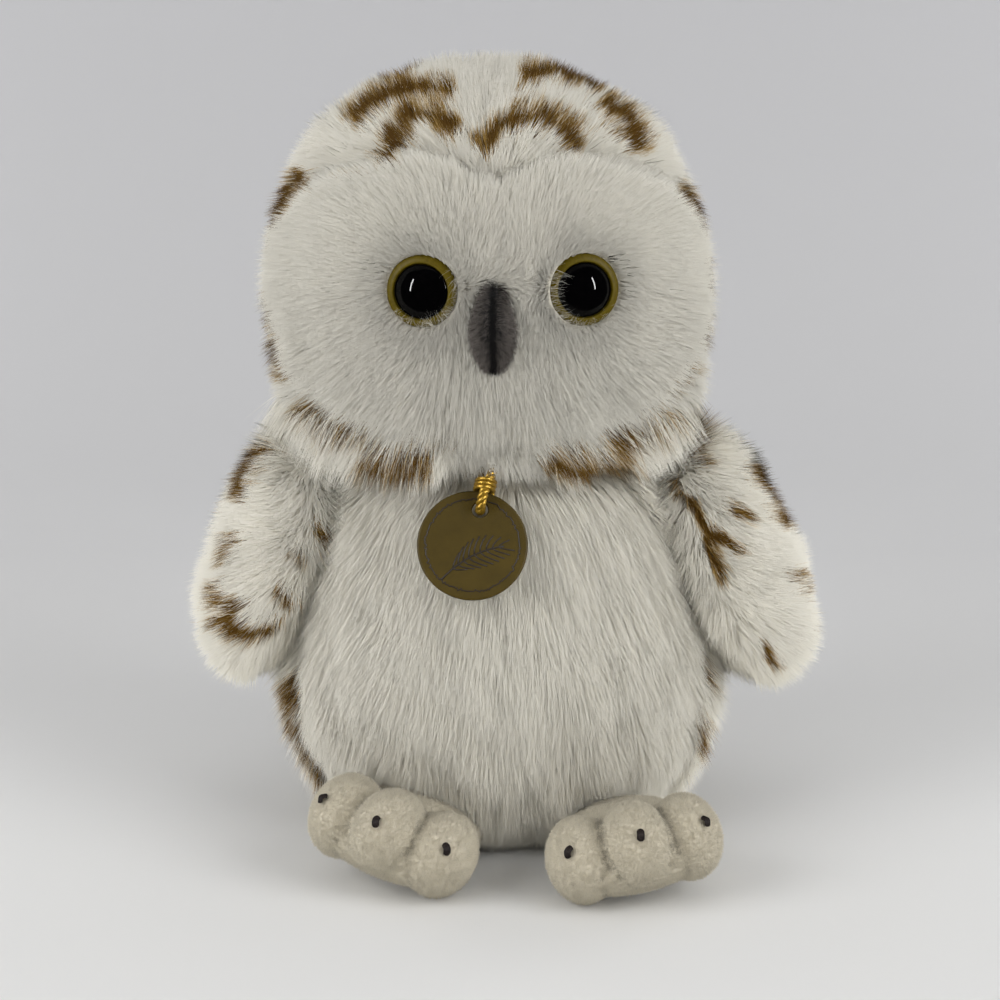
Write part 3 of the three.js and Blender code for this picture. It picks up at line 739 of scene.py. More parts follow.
def eye_distance(points, axes=slice(None)):
    """How far points are from the nearer eye."""
    return np.minimum(*(np.linalg.norm((points - eye)[:, axes], axis=1) for eye in eye_middles.values()))


def inside_face(points):
    """Above zero on the facial disc, in shares of its half size."""
    across = (points[:, 0] - face_middle[0]) / face_half[0]
    dip = BROW_DIP * bell(points[:, 0] - beak_middle[0], BROW_DIP_WIDTH)
    up = (points[:, 2] - face_middle[2] + dip * (points[:, 2] > face_middle[2])) / face_half[2]
    front = (face_high[1] - points[:, 1]) / (20 * MM)
    return np.minimum(1 - (np.abs(across) ** FACE_SQUARENESS + np.abs(up) ** FACE_SQUARENESS), front)


def sculpted(points):
    """Presses the face in round the eyes and down its seam, and stands it off the hood at its rim."""
    inside = inside_face(points)
    lift = FACE_PAD * np.clip(inside * 4 + 0.5, 0, 1) - RIM_DIP * bell(inside + 0.28, 0.22)
    for middle in eye_middles.values():
        lift = lift - EYE_HOLLOW * bell(np.linalg.norm(points - middle, axis=1), EYE_HOLLOW_REACH)
    seam = bell(points[:, 0] - beak_middle[0], SEAM_REACH) * (inside > 0)
    lift = lift - SEAM_HOLLOW * seam * share_of(points[:, 2] - beak_middle[2], 20 * MM)
    return points + unit(points - head_middle) * lift[:, None]


head_skin = Skin("head_skin", "head", ["hood_panel", "face_panel_left", "face_panel_right"], inset=4 * MM,
                 voxel=3 * MM, shape=sculpted)

EYE_ROOM = 9.8 * MM
BEAK_HALF_WIDTH = 4.6 * MM
BEAK_HALF_HEIGHT = 10.5 * MM
# Painted shade: the head's pile is drawn less bright than the same fur elsewhere
HEAD_PAINTED_SHADE = 0.46
# Painted shade round the eyes: how much darker, and how far it reaches
EYE_PAINTED_SHADE = 0.38
EYE_PAINTED_SHADE_REACH = 5.5 * MM
FACE_MARGIN = 0.16


def face_where(points, normals, sign):
    """Roots on one half of the facial disc, clear of the eyes and the beak."""
    across, _, up = (points - beak_middle).T
    from_beak = np.sqrt((across / BEAK_HALF_WIDTH) ** 2 + (up / BEAK_HALF_HEIGHT) ** 2) - 1
    clear = np.minimum(eye_distance(points, [0, 2]) - EYE_ROOM, from_beak * 5 * MM) / CM
    return np.minimum.reduce([inside_face(points) - FACE_MARGIN, clear, across * sign / CM])


def face_comb(points):
    """Away from the nearer eye and from the beak's root."""
    source = np.array([beak_middle[0], beak_middle[1], beak_high[2] - 2 * MM])
    total = unit(points - source) * 0.8
    for middle in eye_middles.values():
        away = np.linalg.norm(points - middle, axis=1) - EYE_ROOM
        total += unit(points - middle) * bell(away, 14 * MM)[:, None] * 1.4
    total[:, 2] -= 0.12
    return total


def face_short(points):
    """Shorter next to the eyes and the beak, and longer at the rim and on the chin."""
    beak = np.linalg.norm(points - beak_middle, axis=1)
    rim = 1.2 - 0.2 * share_of(inside_face(points), 0.4)
    rim = rim * (1 + 0.45 * share_of(face_middle[2] - points[:, 2] - 10 * MM, 14 * MM))
    by_eye = 0.42 + 0.58 * share_of(eye_distance(points) - EYE_ROOM, 16 * MM)
    return rim * np.minimum(by_eye, 0.5 + 0.5 * share_of(beak - 8 * MM, 18 * MM))


def face_painted_shade(points):
    """Painted shade: less bright round the eyes, where the pile is deep, and a little less towards the chin.
    """
    total = np.full(len(points), HEAD_PAINTED_SHADE)
    for middle in eye_middles.values():
        away = np.linalg.norm(points - middle, axis=1) - EYE_ROOM
        total += EYE_PAINTED_SHADE * bell(np.maximum(away, 0), EYE_PAINTED_SHADE_REACH)
    height = (points[:, 2] - face_middle[2]) / (face_high[2] - face_middle[2])
    return total - 0.1 * np.clip(height, -1.5, 1)


for side, sign in SIDES.items():
    grow(f"fur_face_{side}", head_skin, 16, 10.5 * MM, (26, 62), face_comb, partial(face_where, sign=sign),
         shorter=face_short, seed=10 + sign, width=0.26 * MM, clump=1.2 * MM, pull=0.12, sway=10,
         frizz=0.07, painted_shade=face_painted_shade)


def hood_dye(points, normals):
    across = around(points, head_middle) * ROUND_RADIUS
    hidden = row_bars(across, points[:, 2] + 0.004, 34 * MM, 22 * MM, 5.0)
    hidden = hidden * np.clip((points[:, 1] - head_middle[1]) / CM + 2, 0, 1)
    return split_by_view(points, normals, HOOD_BARS_PX, HOOD_BAR_WIDTH, hidden)


def hood_comb(points):
    """Off the facial disc's rim, then down the sides and the back."""
    source = np.array([face_middle[0], face_low[1], face_middle[2] + 6 * MM])
    back = share_of(points[:, 1] - face_high[1] + 25 * MM, 50 * MM)
    total = unit(points - source) * (1 - 0.75 * back)[:, None]
    total[:, 2] -= 0.9 * back
    total[:, 1] += 0.35 * share_of(points[:, 2] - head_middle[2] - 10 * MM, 30 * MM)
    return total


def crown(points):
    """One on the top of the head, and nothing below it."""
    return share_of(points[:, 2] - head_middle[2] - 12 * MM, 20 * MM)


def hood_flat(points):
    """Degrees by which the pile at the back of the crown lies flatter."""
    return 30 * crown(points) * np.clip((points[:, 1] - head_middle[1]) / (15 * MM) + 0.5, 0, 1)


def hood_painted_shade_and_light(points):
    """Painted shade over the hood, with painted light making it brighter on the crown and at the back."""
    behind = share_of(points[:, 1] - head_middle[1], 20 * MM)
    return HEAD_PAINTED_SHADE + 0.06 - 0.3 * np.maximum(crown(points), behind)


def hood_short(points):
    """Shorter on the crown than at the neck, and shortest next to the facial disc."""
    drop = 0.85 + 0.25 * share_of(head_middle[2] - points[:, 2], 35 * MM)
    return drop * (0.55 + 0.45 * share_of(FACE_MARGIN - inside_face(points), 0.5))


def hood_where(points, normals, low, high):
    """Roots on the hood between two turns about its middle, in degrees from the front."""
    turn = np.degrees(around(points, head_middle))
    return np.minimum(np.minimum(turn - low, high - turn) / 20, FACE_MARGIN - inside_face(points))


HOOD_PARTS = {
    "right_front": (-90, 0), "left_front": (0, 90), "left_back": (90, 180.1), "right_back": (-180.1, -90)
}
for number, (part, (low, high)) in enumerate(HOOD_PARTS.items()):
    grow(f"fur_hood_{part}", head_skin, 7, 13 * MM, (14, 52), hood_comb,
         partial(hood_where, low=low, high=high), shorter=hood_short, dye=hood_dye, slot="barred_fur",
         seed=20 + number, width=0.27 * MM, clump=2 * MM, sway=22, frizz=0.16, painted_shade=hood_painted_shade_and_light,
         flatter=hood_flat)


# The collar: long pile from the hood's lower edge, spread over the shoulders and parted for the cord

COLLAR_TOP = 19 * MM
COLLAR_BOTTOM = 2 * MM
CORD_PARTING = 7 * MM
UNDER_CHIN = 0.55  # how squarely the skin may face down and still carry the collar
cord_exit = np.array(joints["cord_swing"]["pos_m"])


def collar_where(points, normals, sign):
    """Roots in a band above the neck on one side, but not under the chin or on the facial disc."""
    rise = points[:, 2] - head_low[2]
    band = np.minimum(COLLAR_TOP - rise, rise - COLLAR_BOTTOM) / CM
    half = (points[:, 0] - cord_exit[0]) * sign / CM
    chin = (normals[:, 2] + UNDER_CHIN) / 0.15
    return np.minimum.reduce([band, half, chin, FACE_MARGIN - inside_face(points)])


def collar_comb(points):
    """Down and out, and away from the cord in front."""
    total = points - head_middle
    total[:, 2] = 0
    total = unit(total)
    total[:, 2] = -1.1
    away = (points[:, 0] - cord_exit[0]) / CORD_PARTING
    total[:, 0] += (points[:, 1] < head_middle[1]) * 0.6 * np.sign(away) * bell(np.abs(away) - 0.5, 1)
    return total


def collar_short(points):
    """Longest over the shoulders, and shortest where the cord comes out."""
    front = points[:, 1] < head_middle[1]
    side = share_of(np.abs(points[:, 0] - head_middle[0]), 45 * MM)
    return 1 + 0.25 * side - 0.45 * front * bell(points[:, 0] - cord_exit[0], CORD_PARTING)


def collar_dye(points, normals):
    return hood_dye(points, unit(normals * np.array([1, 1, 0])))


def collar_painted_shade(points):
    """Painted shade: less bright towards its top, below the chin."""
    return 0.2 * share_of(points[:, 2] - head_low[2], COLLAR_TOP)


for side, sign in SIDES.items():
    grow(f"fur_collar_{side}", head_skin, 8, 19 * MM, (30, 60), collar_comb,
         partial(collar_where, sign=sign), shorter=collar_short, dye=collar_dye, slot="barred_fur",
         seed=27 + sign, width=0.25 * MM, clump=2.2 * MM, sway=16, painted_shade=collar_painted_shade)


# Body

FOOTING = 16 * MM
_, body_high, _ = box_of("body_back_panel")
_, belly_high, _ = box_of("body_front_panel")


def seated(points):
    """Brings the skin's underside back down to the floor."""
    lowest = points[:, 2].min()
    low = points[:, 2] < FOOTING
    share = (points[low, 2] - lowest) / (FOOTING - lowest)
    points[low, 2] = FLOOR_ROOM + share * (FOOTING - FLOOR_ROOM)
    return points


body_skin = Skin("body_skin", "torso", ["body_front_panel", "body_back_panel", "base_panel"], inset=5 * MM,
                 voxel=3 * MM, shape=seated)


def body_where(points, normals, front, sign):
    """Roots on one side of the belly or of the back, between the floor and the neck."""
    belly = (belly_high[1] - points[:, 1]) / (20 * MM)
    above = np.minimum(points[:, 2] - 4 * MM, body_high[2] - 6 * MM - points[:, 2]) / CM
    return np.minimum.reduce([belly if front else -belly, above, points[:, 0] * sign / CM])


def body_short(points):
    """Shorter where it would reach the floor."""
    return np.clip((points[:, 2] - 1 * MM) / (14 * MM), 0.3, 1)


def back_dye(points, normals):
    hidden = row_bars(around(points, (0, 0)) * ROUND_RADIUS, points[:, 2], 34 * MM, 22 * MM, 9.0)
    return split_by_view(points, normals, BACK_BARS_PX, WING_BAR_WIDTH, hidden)


body_comb = partial(lying, way=(0, 0, -1), spread=250 * MM)
for side, sign in SIDES.items():
    # Painted shade: the belly's pile is drawn a little less bright
    grow(f"fur_belly_{side}", body_skin, 10.2, 17 * MM, (52, 80), body_comb,
         partial(body_where, front=True, sign=sign), shorter=body_short, seed=30 + sign, width=0.27 * MM,
         sway=9, clump=2.4 * MM, pull=0.15, frizz=0.06, painted_shade=lambda points: 0.25, ruffle=4)
    grow(f"fur_back_{side}", body_skin, 5.5, 16 * MM, (30, 66), body_comb,
         partial(body_where, front=False, sign=sign), shorter=body_short, dye=back_dye, slot="barred_fur",
         seed=40 + sign, width=0.28 * MM, clump=2.2 * MM, pull=0.28, sway=18)


# Wings

SHOULDER_REACH = 30 * MM  # the pile turns from down to back over this much of the wing
SEAM_WRAP = 5 * MM  # how far the outer pile laps over the lining


def grow_wing(side, sign):
    panels = [f"wing_outer_panel_{side}", f"wing_inner_panel_{side}"]
    skin = Skin(f"wing_skin_{side}", f"wing_{side}", panels, inset=4 * MM, voxel=2.5 * MM)
    hinge = np.array(joints[f"wing_{side}_lift"]["pos_m"])
    outer, inner = (points_of(panel) for panel in panels)
    axis = unit((outer[outer[:, 2].argmin()] - hinge)[None])[0]
    seam_normal = outer.mean(axis=0) - inner.mean(axis=0)
    seam_normal -= axis * (seam_normal @ axis)
    seam_normal /= np.linalg.norm(seam_normal)
    seam = (outer.mean(axis=0) + inner.mean(axis=0)) / 2

    def outside(points, normals):
        return ((points - seam) @ seam_normal + SEAM_WRAP) / CM

    def comb_out(points):
        """Back from the front seam, and down towards the tip."""
        backwards = np.array([0.25 * sign, 1, 0]) * 0.8
        return axis * 0.7 + backwards * share_of((points - hinge) @ axis, SHOULDER_REACH)[:, None]

    def dye(points, normals):
        across = points[:, 1] - hinge[1]
        hidden = row_bars(across, (points - hinge) @ axis, 24 * MM, 19 * MM, 2.0 + sign)
        return split_by_view(points, normals, WING_BARS_PX[side], WING_BAR_WIDTH, hidden)

    grow(f"fur_wing_outer_{side}", skin, 8.5, 12.5 * MM, (16, 52), comb_out, outside, dye=dye,
         slot="barred_fur", seed=50 + sign, width=0.26 * MM, clump=2 * MM, sway=22, frizz=0.14)
    grow(f"fur_wing_inner_{side}", skin, 8, 10 * MM, (34, 68),
         lambda points: np.repeat(axis[None], len(points), axis=0),
         lambda points, normals: -outside(points, normals), seed=60 + sign, clump=1.4 * MM, pull=0.2,
         sway=10, frizz=0.07)


for side, sign in SIDES.items():
    grow_wing(side, sign)


# Tail

tail_skin = Skin("tail_skin", "tail", ["tail_upper_panel", "tail_lower_panel"], inset=3 * MM, voxel=2 * MM)
tail_seam_z = (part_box("tail_lower_panel")[1][2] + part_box("tail_upper_panel")[0][2]) / 2


def tail_dye(points, normals):
    return row_bars(points[:, 0], points[:, 1], 22 * MM, 15 * MM, 1.0)


tail_comb = partial(lying, way=(0, 1, 0), spread=60 * MM)
grow("fur_tail_upper", tail_skin, 4.5, 13 * MM, (46, 78), tail_comb,
     lambda points, normals: (points[:, 2] - tail_seam_z) / CM, dye=tail_dye, slot="barred_fur", seed=70,
     clump=1.8 * MM, pull=0.35, steps=3)
grow("fur_tail_lower", tail_skin, 4, 8 * MM, (60, 84), tail_comb,
     lambda points, normals: (tail_seam_z - points[:, 2]) / CM, seed=71, pull=0.35, steps=3)


# Feet: short velvety plush, with claws stitched in thread

CLAW_STITCHES = 7
CLAW_SHARE = 0.95
CLAW_HALF_WIDTH = 0.9 * MM
CLAW_RISE = 0.8 * MM
STITCH_RADIUS = 0.3 * MM
CLAW_NEIGHBOURS = 40  # corners of the skin that tell which way is out at a claw


def grow_foot(side, sign):
    nodes = [f"foot_upper_{side}", f"foot_sole_{side}", f"foot_fill_{side}"]
    skin = Skin(f"foot_skin_{side}", f"foot_{side}", nodes, inset=0.5 * MM, voxel=0.9 * MM,
                material=foot_backing, slot="cream_plush", convex=False, fill=0.8)
    nap(f"pile_foot_{side}", skin, foot_plush, 80 + sign)
    for toe in ("inner", "middle", "outer"):
        low, high, _ = box_of(f"claw_{toe}_{side}")
        middle = points_of(f"claw_{toe}_{side}").mean(axis=0)
        nearest = np.linalg.norm(skin.points - middle, axis=1).argsort()[:CLAW_NEIGHBOURS]
        out = unit((middle - skin.points[nearest].mean(axis=0))[None])[0]
        tall = np.array([0, 0, 1]) - out * out[2]
        tall /= np.linalg.norm(tall)
        wide = np.cross(tall, out)
        stitches = []
        for i in range(CLAW_STITCHES):
            share = (i + 0.5) / CLAW_STITCHES * 2 - 1
            half = CLAW_SHARE * (high[2] - low[2]) / 2 * math.sqrt(1 - (share * 0.85) ** 2)
            line = []
            for turn in np.linspace(-1, 1, 9):
                rise = CLAW_RISE * math.cos(turn * math.pi / 2) - STITCH_RADIUS / 2
                line.append(middle + wide * share * CLAW_HALF_WIDTH + tall * turn * half + out * rise)
            stitches.append(tube(line, STITCH_RADIUS, 8))
        joined(f"stitched_claw_{toe}_{side}", stitches, thread, "claw_thread", f"foot_{side}",
               f"claw_{toe}_{side}")


for side, sign in SIDES.items():
    grow_foot(side, sign)


# Beak: two felted halves that meet in a seam

BEAK_SEAM = 0.7 * MM
BEAK_SEAM_WIDTH = 0.9 * MM
BEAK_TAPER = 0.35


def seamed(points):
    """Presses the seam in and draws the beak's upper end narrower."""
    up = share_of(points[:, 2] - beak_middle[2], beak_high[2] - beak_middle[2])
    points[:, 0] -= (points[:, 0] - beak_middle[0]) * BEAK_TAPER * up
    seam = bell(points[:, 0] - beak_middle[0], BEAK_SEAM_WIDTH)
    points[:, 1] += BEAK_SEAM * seam * (points[:, 1] < beak_middle[1])
    return points


beak_skin = Skin("beak_skin", "head", ["beak_panel_left", "beak_panel_right"], inset=0.8 * MM, voxel=1 * MM,
                 material=beak_backing, slot="beak_plush", shape=seamed, fill=0.8)
grow("pile_beak", beak_skin, 20, 2.8 * MM, (10, 40),
     partial(lying, way=(0, 0, -1), spread=8 * MM, middle=beak_middle[0]),
     lambda points, normals: (beak_high[1] - 3 * MM - points[:, 1]) / CM,
     dye=lambda points, normals: bell(points[:, 0] - beak_middle[0], BEAK_SEAM_WIDTH), material=beak_plush,
     width=0.1 * MM, clump=0.7 * MM, pull=0.25, sway=70, frizz=0.5, roll=0.6, seed=90)


# Eyes: a satin iris ring round a polished dome, with short pile at its edge. The profiles are in millimetres.

EYE_STEPS = 72
IRIS_PROFILE = [
    (2.6, 0.3), (10, 0.3), (10, 1.5), (9.7, 2.05), (9.1, 2.5), (8.4, 2.8), (7.95, 2.88), (7.75, 2.7),
    (7.75, 1.4), (2.6, 1.4), (2.6, 0.3),
]
PUPIL_FOOT = 1.7
PUPIL_WALL = 0.8
PUPIL_TOP = 6.2
PUPIL_RADIUS = 7.4
DOME_STEPS = 12
SHANK_RADIUS = 2.3
SHANK_LENGTH = 12
LASH_REACH = 2.6 * MM


def lash_where(points, normals):
    """A narrow ring of roots at each eye's edge, on the sides next to the beak and below."""
    best = np.full(len(points), -1.0)
    for side, sign in SIDES.items():
        offset = points - eye_middles[side]
        away = np.linalg.norm(offset[:, [0, 2]], axis=1)
        ring = np.minimum(away - EYE_ROOM, EYE_ROOM + LASH_REACH - away) / CM
        near = (-sign * offset[:, 0] * 0.6 - offset[:, 2]) / (60 * MM)
        best = np.maximum(best, np.minimum(ring, near))
    return best


def lash_comb(points):
    """In over the eye's edge."""
    total = np.zeros_like(points)
    for middle in eye_middles.values():
        offset = middle - points
        total += unit(offset) * (np.linalg.norm(offset, axis=1) < 20 * MM)[:, None]
    return total


# Painted shade: the pile at the eyes' edges is drawn as dim as the rest of the head
grow("fur_eye_edges", head_skin, 3, 6.5 * MM, (0, 62), lash_comb, lash_where, seed=15,
     width=0.055 * MM, clump=1.2 * MM, sway=85, frizz=0.4, roll=0.3, steps=3, painted_shade=lambda points: HEAD_PAINTED_SHADE)

pupil_profile = [
    (0, -SHANK_LENGTH), (SHANK_RADIUS, -SHANK_LENGTH), (SHANK_RADIUS, PUPIL_FOOT), (PUPIL_RADIUS, PUPIL_FOOT)
]
for i in range(DOME_STEPS + 1):
    turn = math.pi / 2 * i / DOME_STEPS
    radius = 0 if i == DOME_STEPS else PUPIL_RADIUS * math.cos(turn)
    rise = (PUPIL_TOP - PUPIL_FOOT - PUPIL_WALL) * math.sin(turn) ** 2
    pupil_profile.append((radius, PUPIL_FOOT + PUPIL_WALL + rise))

for side in SIDES:
    ring_middle = points_of(f"eye_iris_{side}").mean(axis=0)
    out = unit((ring_middle - points_of(f"eye_washer_{side}").mean(axis=0))[None])[0]
    reach = (points_of(f"eye_pupil_{side}") @ out).min() + SHANK_LENGTH * MM
    seat = ring_middle + out * (reach - ring_middle @ out)
    turn = Vector((0, 0, 1)).rotation_difference(Vector(out)).to_matrix().to_4x4()
    matrix = Matrix.Translation(Vector(seat)) @ turn @ Matrix.Scale(MM, 4)
    for kind, profile, material in (
        ("iris", IRIS_PROFILE, iris_material),
        ("pupil", pupil_profile, pupil_material),
    ):
        joined(f"{kind}_{side}", [lathe(profile, EYE_STEPS, matrix)], material, f"{kind}_plastic", "head",
               f"eye_{kind}_{side}")


# Cord: three plies on the route of the CAD part, in the tag's frame at the cord's exit

TAG_TILT = math.radians(27)
TAG_ROLL = math.radians(12)
CORD_DIAMETER = 2.8 * MM
CORD_ROUTE = [
    (0.0015, -0.0006, 0), (0.0015, -0.0034, -0.0008), (0.0012, -0.0062, -0.0026), (0.0008, -0.0082, -0.0056),
    (0.0003, -0.0093, -0.0086), (0, -0.0094, -0.0114), (0, -0.0082, -0.0135), (0, -0.006, -0.0142),
    (0, -0.0039, -0.0134), (-0.0003, -0.0031, -0.011), (-0.0008, -0.003, -0.0082),
    (-0.0013, -0.0032, -0.0052), (-0.0016, -0.0026, -0.0028), (-0.0016, -0.0006, -0.0014),
]
ROUTE_STEPS = 12
PLIES = 3
PLY_PITCH = 5 * MM
PLY_RADIUS = 0.27 * CORD_DIAMETER
PLY_OFFSET = 0.25 * CORD_DIAMETER

tag_turn = Matrix.Rotation(-TAG_TILT, 4, "X") @ Matrix.Rotation(TAG_ROLL, 4, "Y")
tag_frame = Matrix.Translation(Vector(joints["cord_swing"]["pos_m"])) @ tag_turn


def between(a, b, start, end, t):
    """Where t is on the line from a at start to b at end."""
    return a * ((end - t) / (end - start)) + b * ((t - start) / (end - start))


def smooth_route(points, steps):
    """A centripetal Catmull-Rom curve through points."""
    points = [Vector(p) for p in points]
    points = [points[0] * 2 - points[1]] + points + [points[-1] * 2 - points[-2]]
    made = []
    for a, b, c, d in zip(points, points[1:], points[2:], points[3:]):
        t0 = 0.0
        t1 = t0 + math.sqrt((b - a).length)
        t2 = t1 + math.sqrt((c - b).length)
        t3 = t2 + math.sqrt((d - c).length)
        for i in range(steps):
            t = t1 + (t2 - t1) * i / steps
            middle = between(b, c, t1, t2, t)
            first = between(between(a, b, t0, t1, t), middle, t0, t2, t)
            second = between(middle, between(c, d, t2, t3, t), t1, t3, t)
            made.append(between(first, second, t1, t2, t))
    made.append(points[-2])
    return made


route = np.array([tag_frame @ p for p in smooth_route(CORD_ROUTE, ROUTE_STEPS)])
travel = np.concatenate([[0], np.cumsum(np.linalg.norm(np.diff(route, axis=0), axis=1))])
frames = frames_along(route, (1, 0, 0))
plies = []
for ply in range(PLIES):
    turns = 2 * math.pi * (travel / PLY_PITCH + ply / PLIES)
    line = [
        centre + PLY_OFFSET * (math.cos(turn) * u + math.sin(turn) * v)
        for centre, turn, (u, v) in zip(route, turns, frames)
    ]
    plies.append(tube(line, PLY_RADIUS, 8))
cord = joined("twisted_cord", plies, cord_material, "gold_cord", "cord", "tag_cord")


# Tag: a disc with a hole, drawn in its own plane with x across, y up and z towards its front

TAG_RADIUS = 15.5 * MM
TAG_THICKNESS = 1.5 * MM
TAG_HOLE_RADIUS = 2.3 * MM
TAG_HOLE_INSET = 5.2 * MM
TAG_HOLE = (0, -0.006, -0.0142)
RIM_STEPS = 128
HOLE_STEPS = 32
# From the front to the middle of the edge: how far in the rim is, how much wider the hole is, and the drop
TAG_EDGE = [(0.5 * MM, 0.15 * MM, 0), (0.12 * MM, 0, 0.15 * MM), (0, 0, 0.45 * MM)]

tag_centre = Matrix.Translation(Vector(TAG_HOLE) - Vector((0, 0, TAG_RADIUS - TAG_HOLE_INSET)))
tag_matrix = tag_frame @ tag_centre @ Matrix.Rotation(math.pi / 2, 4, "X")


def tag_plate():
    made = bmesh.new()
    loops = []
    hole_up = TAG_RADIUS - TAG_HOLE_INSET
    for face, edge in ((1, TAG_EDGE), (-1, TAG_EDGE[::-1])):
        for inset, flare, drop in edge:
            height = (TAG_THICKNESS / 2 - drop) * face
            rings = ((TAG_RADIUS - inset, 0, RIM_STEPS), (TAG_HOLE_RADIUS + flare, hole_up, HOLE_STEPS))
            loops.append([
                [made.verts.new((radius * c, rise + radius * s, height)) for c, s in circle(steps)]
                for radius, rise, steps in rings
            ])
    for upper, lower in zip(loops, loops[1:]):
        for ring in range(2):
            count = len(upper[ring])
            for i in range(count):
                j = (i + 1) % count
                corners = [upper[ring][i], lower[ring][i], lower[ring][j], upper[ring][j]]
                made.faces.new(corners if ring == 0 else corners[::-1])
    for layer in (loops[0], loops[-1]):
        pairs = [pair for ring in layer for pair in zip(ring, ring[1:] + ring[:1])]
        bmesh.ops.triangle_fill(made, use_beauty=True, edges=[made.edges.get(pair) for pair in pairs])
    bmesh.ops.recalc_face_normals(made, faces=made.faces)
    made.transform(tag_matrix)
    mesh = bpy.data.meshes.new("tag_plate")
    made.to_mesh(mesh)
    made.free()
    return mesh


tag = dressed("tag_plate", tag_plate(), tag_material, "tag_leatherette", "tag", "tag_disc")

# Burnt lines on the tag's face: a sketchy ring near its rim, and a plain feather in its middle
RING_RADIUS = 13.1 * MM
RING_STEPS = 220
RING_WANDER = 0.55 * MM
RING_SKETCHED = 0.55
LINE_RADIUS = 0.2 * MM
FEATHER_LENGTH = 18 * MM
FEATHER_TILT = math.radians(38)
BARBS = 9
rng = np.random.default_rng(SEED)


def on_tag(x, y):
    return tag_matrix @ Vector((x, y, TAG_THICKNESS / 2))


def feather(along, across):
    """A place on the tag from a share of the feather's length and a distance to its side."""
    x = (along - 0.5) * FEATHER_LENGTH
    y = across - 3 * MM * (along - 0.5) ** 2 * 2 - 1.6 * MM
    c, s = math.cos(FEATHER_TILT), math.sin(FEATHER_TILT)
    return on_tag(x * c - y * s, x * s + y * c - 1.5 * MM)


wander = rng.uniform(-1, 1, RING_STEPS) * RING_WANDER * (rng.random(RING_STEPS) < RING_SKETCHED)
wander[-1] = wander[0]
ring = []
for i in range(RING_STEPS):
    turn = 2 * math.pi * i / (RING_STEPS - 1)
    radius = RING_RADIUS + wander[i]
    ring.append(on_tag(radius * math.cos(turn), radius * math.sin(turn)))
shaft = [feather(share, 0) for share in np.linspace(-0.12, 0.98, 12)]
lines = [tube(ring, LINE_RADIUS, 6), tube(shaft, LINE_RADIUS * 1.3, 6)]
for i in range(BARBS):
    along = 0.12 + 0.78 * i / (BARBS - 1)
    reach = 4.4 * MM * math.sin(math.pi * (0.16 + 0.76 * i / (BARBS - 1))) ** 0.7
    for flip in (1, -1):
        barb = [feather(along + 0.2 * share**1.5, flip * reach * share) for share in (0, 0.35, 0.7, 1)]
        lines.append(tube(barb, LINE_RADIUS, 6))
engraving = joined("tag_engraving", lines, engraving_material, "tag_leatherette", "tag")

# The knot: three turns round both strands of the cord, just above the tag's rim
KNOT_RISE = -7.4 * MM
KNOT_OUT = -6.1 * MM
KNOT_SIDE = -0.1 * MM
KNOT_HALF_WIDTH = 2.6 * MM
KNOT_HALF_DEPTH = 4.2 * MM
KNOT_RADIUS = 0.62 * MM
KNOT_TURNS = 3
KNOT_PITCH = 1.15 * MM
wrap = [
    tag_frame @ Vector((
        KNOT_SIDE + KNOT_HALF_WIDTH * math.cos(turn),
        KNOT_OUT + KNOT_HALF_DEPTH * math.sin(turn),
        KNOT_RISE + KNOT_PITCH * (turn / (2 * math.pi) - KNOT_TURNS / 2),
    ))
    for turn in np.linspace(0, 2 * math.pi * KNOT_TURNS, 84)
]
knot = joined("cord_knot", [tube(wrap, KNOT_RADIUS, 10)], cord_material, "gold_cord", "cord")


# Hidden pieces keep their CAD solids

for name, part in frame["nodes"].items():
    if name.endswith(("fill", "fill_left", "fill_right")) or name == "pellet_bag":
        hidden = fill_material
    elif "washer" in name:
        hidden = washer_material
    else:
        continue
    for slot in part.material_slots:
        slot.material = hidden


# Floor and wall: one sheet of paper, which fades into a plain background to the sides and ahead. Its colour
# carries painted shade, pale at the front and darker towards the wall

FLOOR_SIZE = 8
WALL_Y = 1.1
WALL_HEIGHT = 3
BEND = 0.7
BEND_STEPS = 16
# Painted shade on the paper: where it starts and stops darkening, back from the front
SHADE_FROM = -0.05
SHADE_TO = 0.9
PAPER_SHADE_STOPS = [(0.0, (0.82, 0.82, 0.813)), (0.34, (0.655, 0.655, 0.66)), (1.0, (0.59, 0.59, 0.604))]
BACKGROUND = (0.53, 0.53, 0.54, 1)
# Where the paper fades, in metres out from the middle, and how much wider it is further back
FADE_FROM = 0.3
FADE_TO = 0.8
FADE_WIDENING = 0.15
FADE_AHEAD = 0.1


def seen_share(tree):
    """1 for the rays that look at the background, and 0 for the rays that light the object."""
    path = node(tree, "LightPath").outputs
    seen = reckoned(tree, "MAXIMUM", path["Is Camera Ray"], path["Is Glossy Ray"])
    return reckoned(tree, "MAXIMUM", seen, path["Is Transmission Ray"])


profile = [(-FLOOR_SIZE / 2, 0), (WALL_Y - BEND, 0)]
for i in range(1, BEND_STEPS + 1):
    turn = math.pi / 2 * i / BEND_STEPS
    profile.append((WALL_Y - BEND + BEND * math.sin(turn), BEND - BEND * math.cos(turn)))
profile.append((WALL_Y, WALL_HEIGHT))
points = [(x, y, z) for y, z in profile for x in (-FLOOR_SIZE / 2, FLOOR_SIZE / 2)]
faces = [[2 * i, 2 * i + 1, 2 * i + 3, 2 * i + 2] for i in range(len(profile) - 1)]
backdrop = add_object("backdrop", mesh_of("backdrop", points, faces))

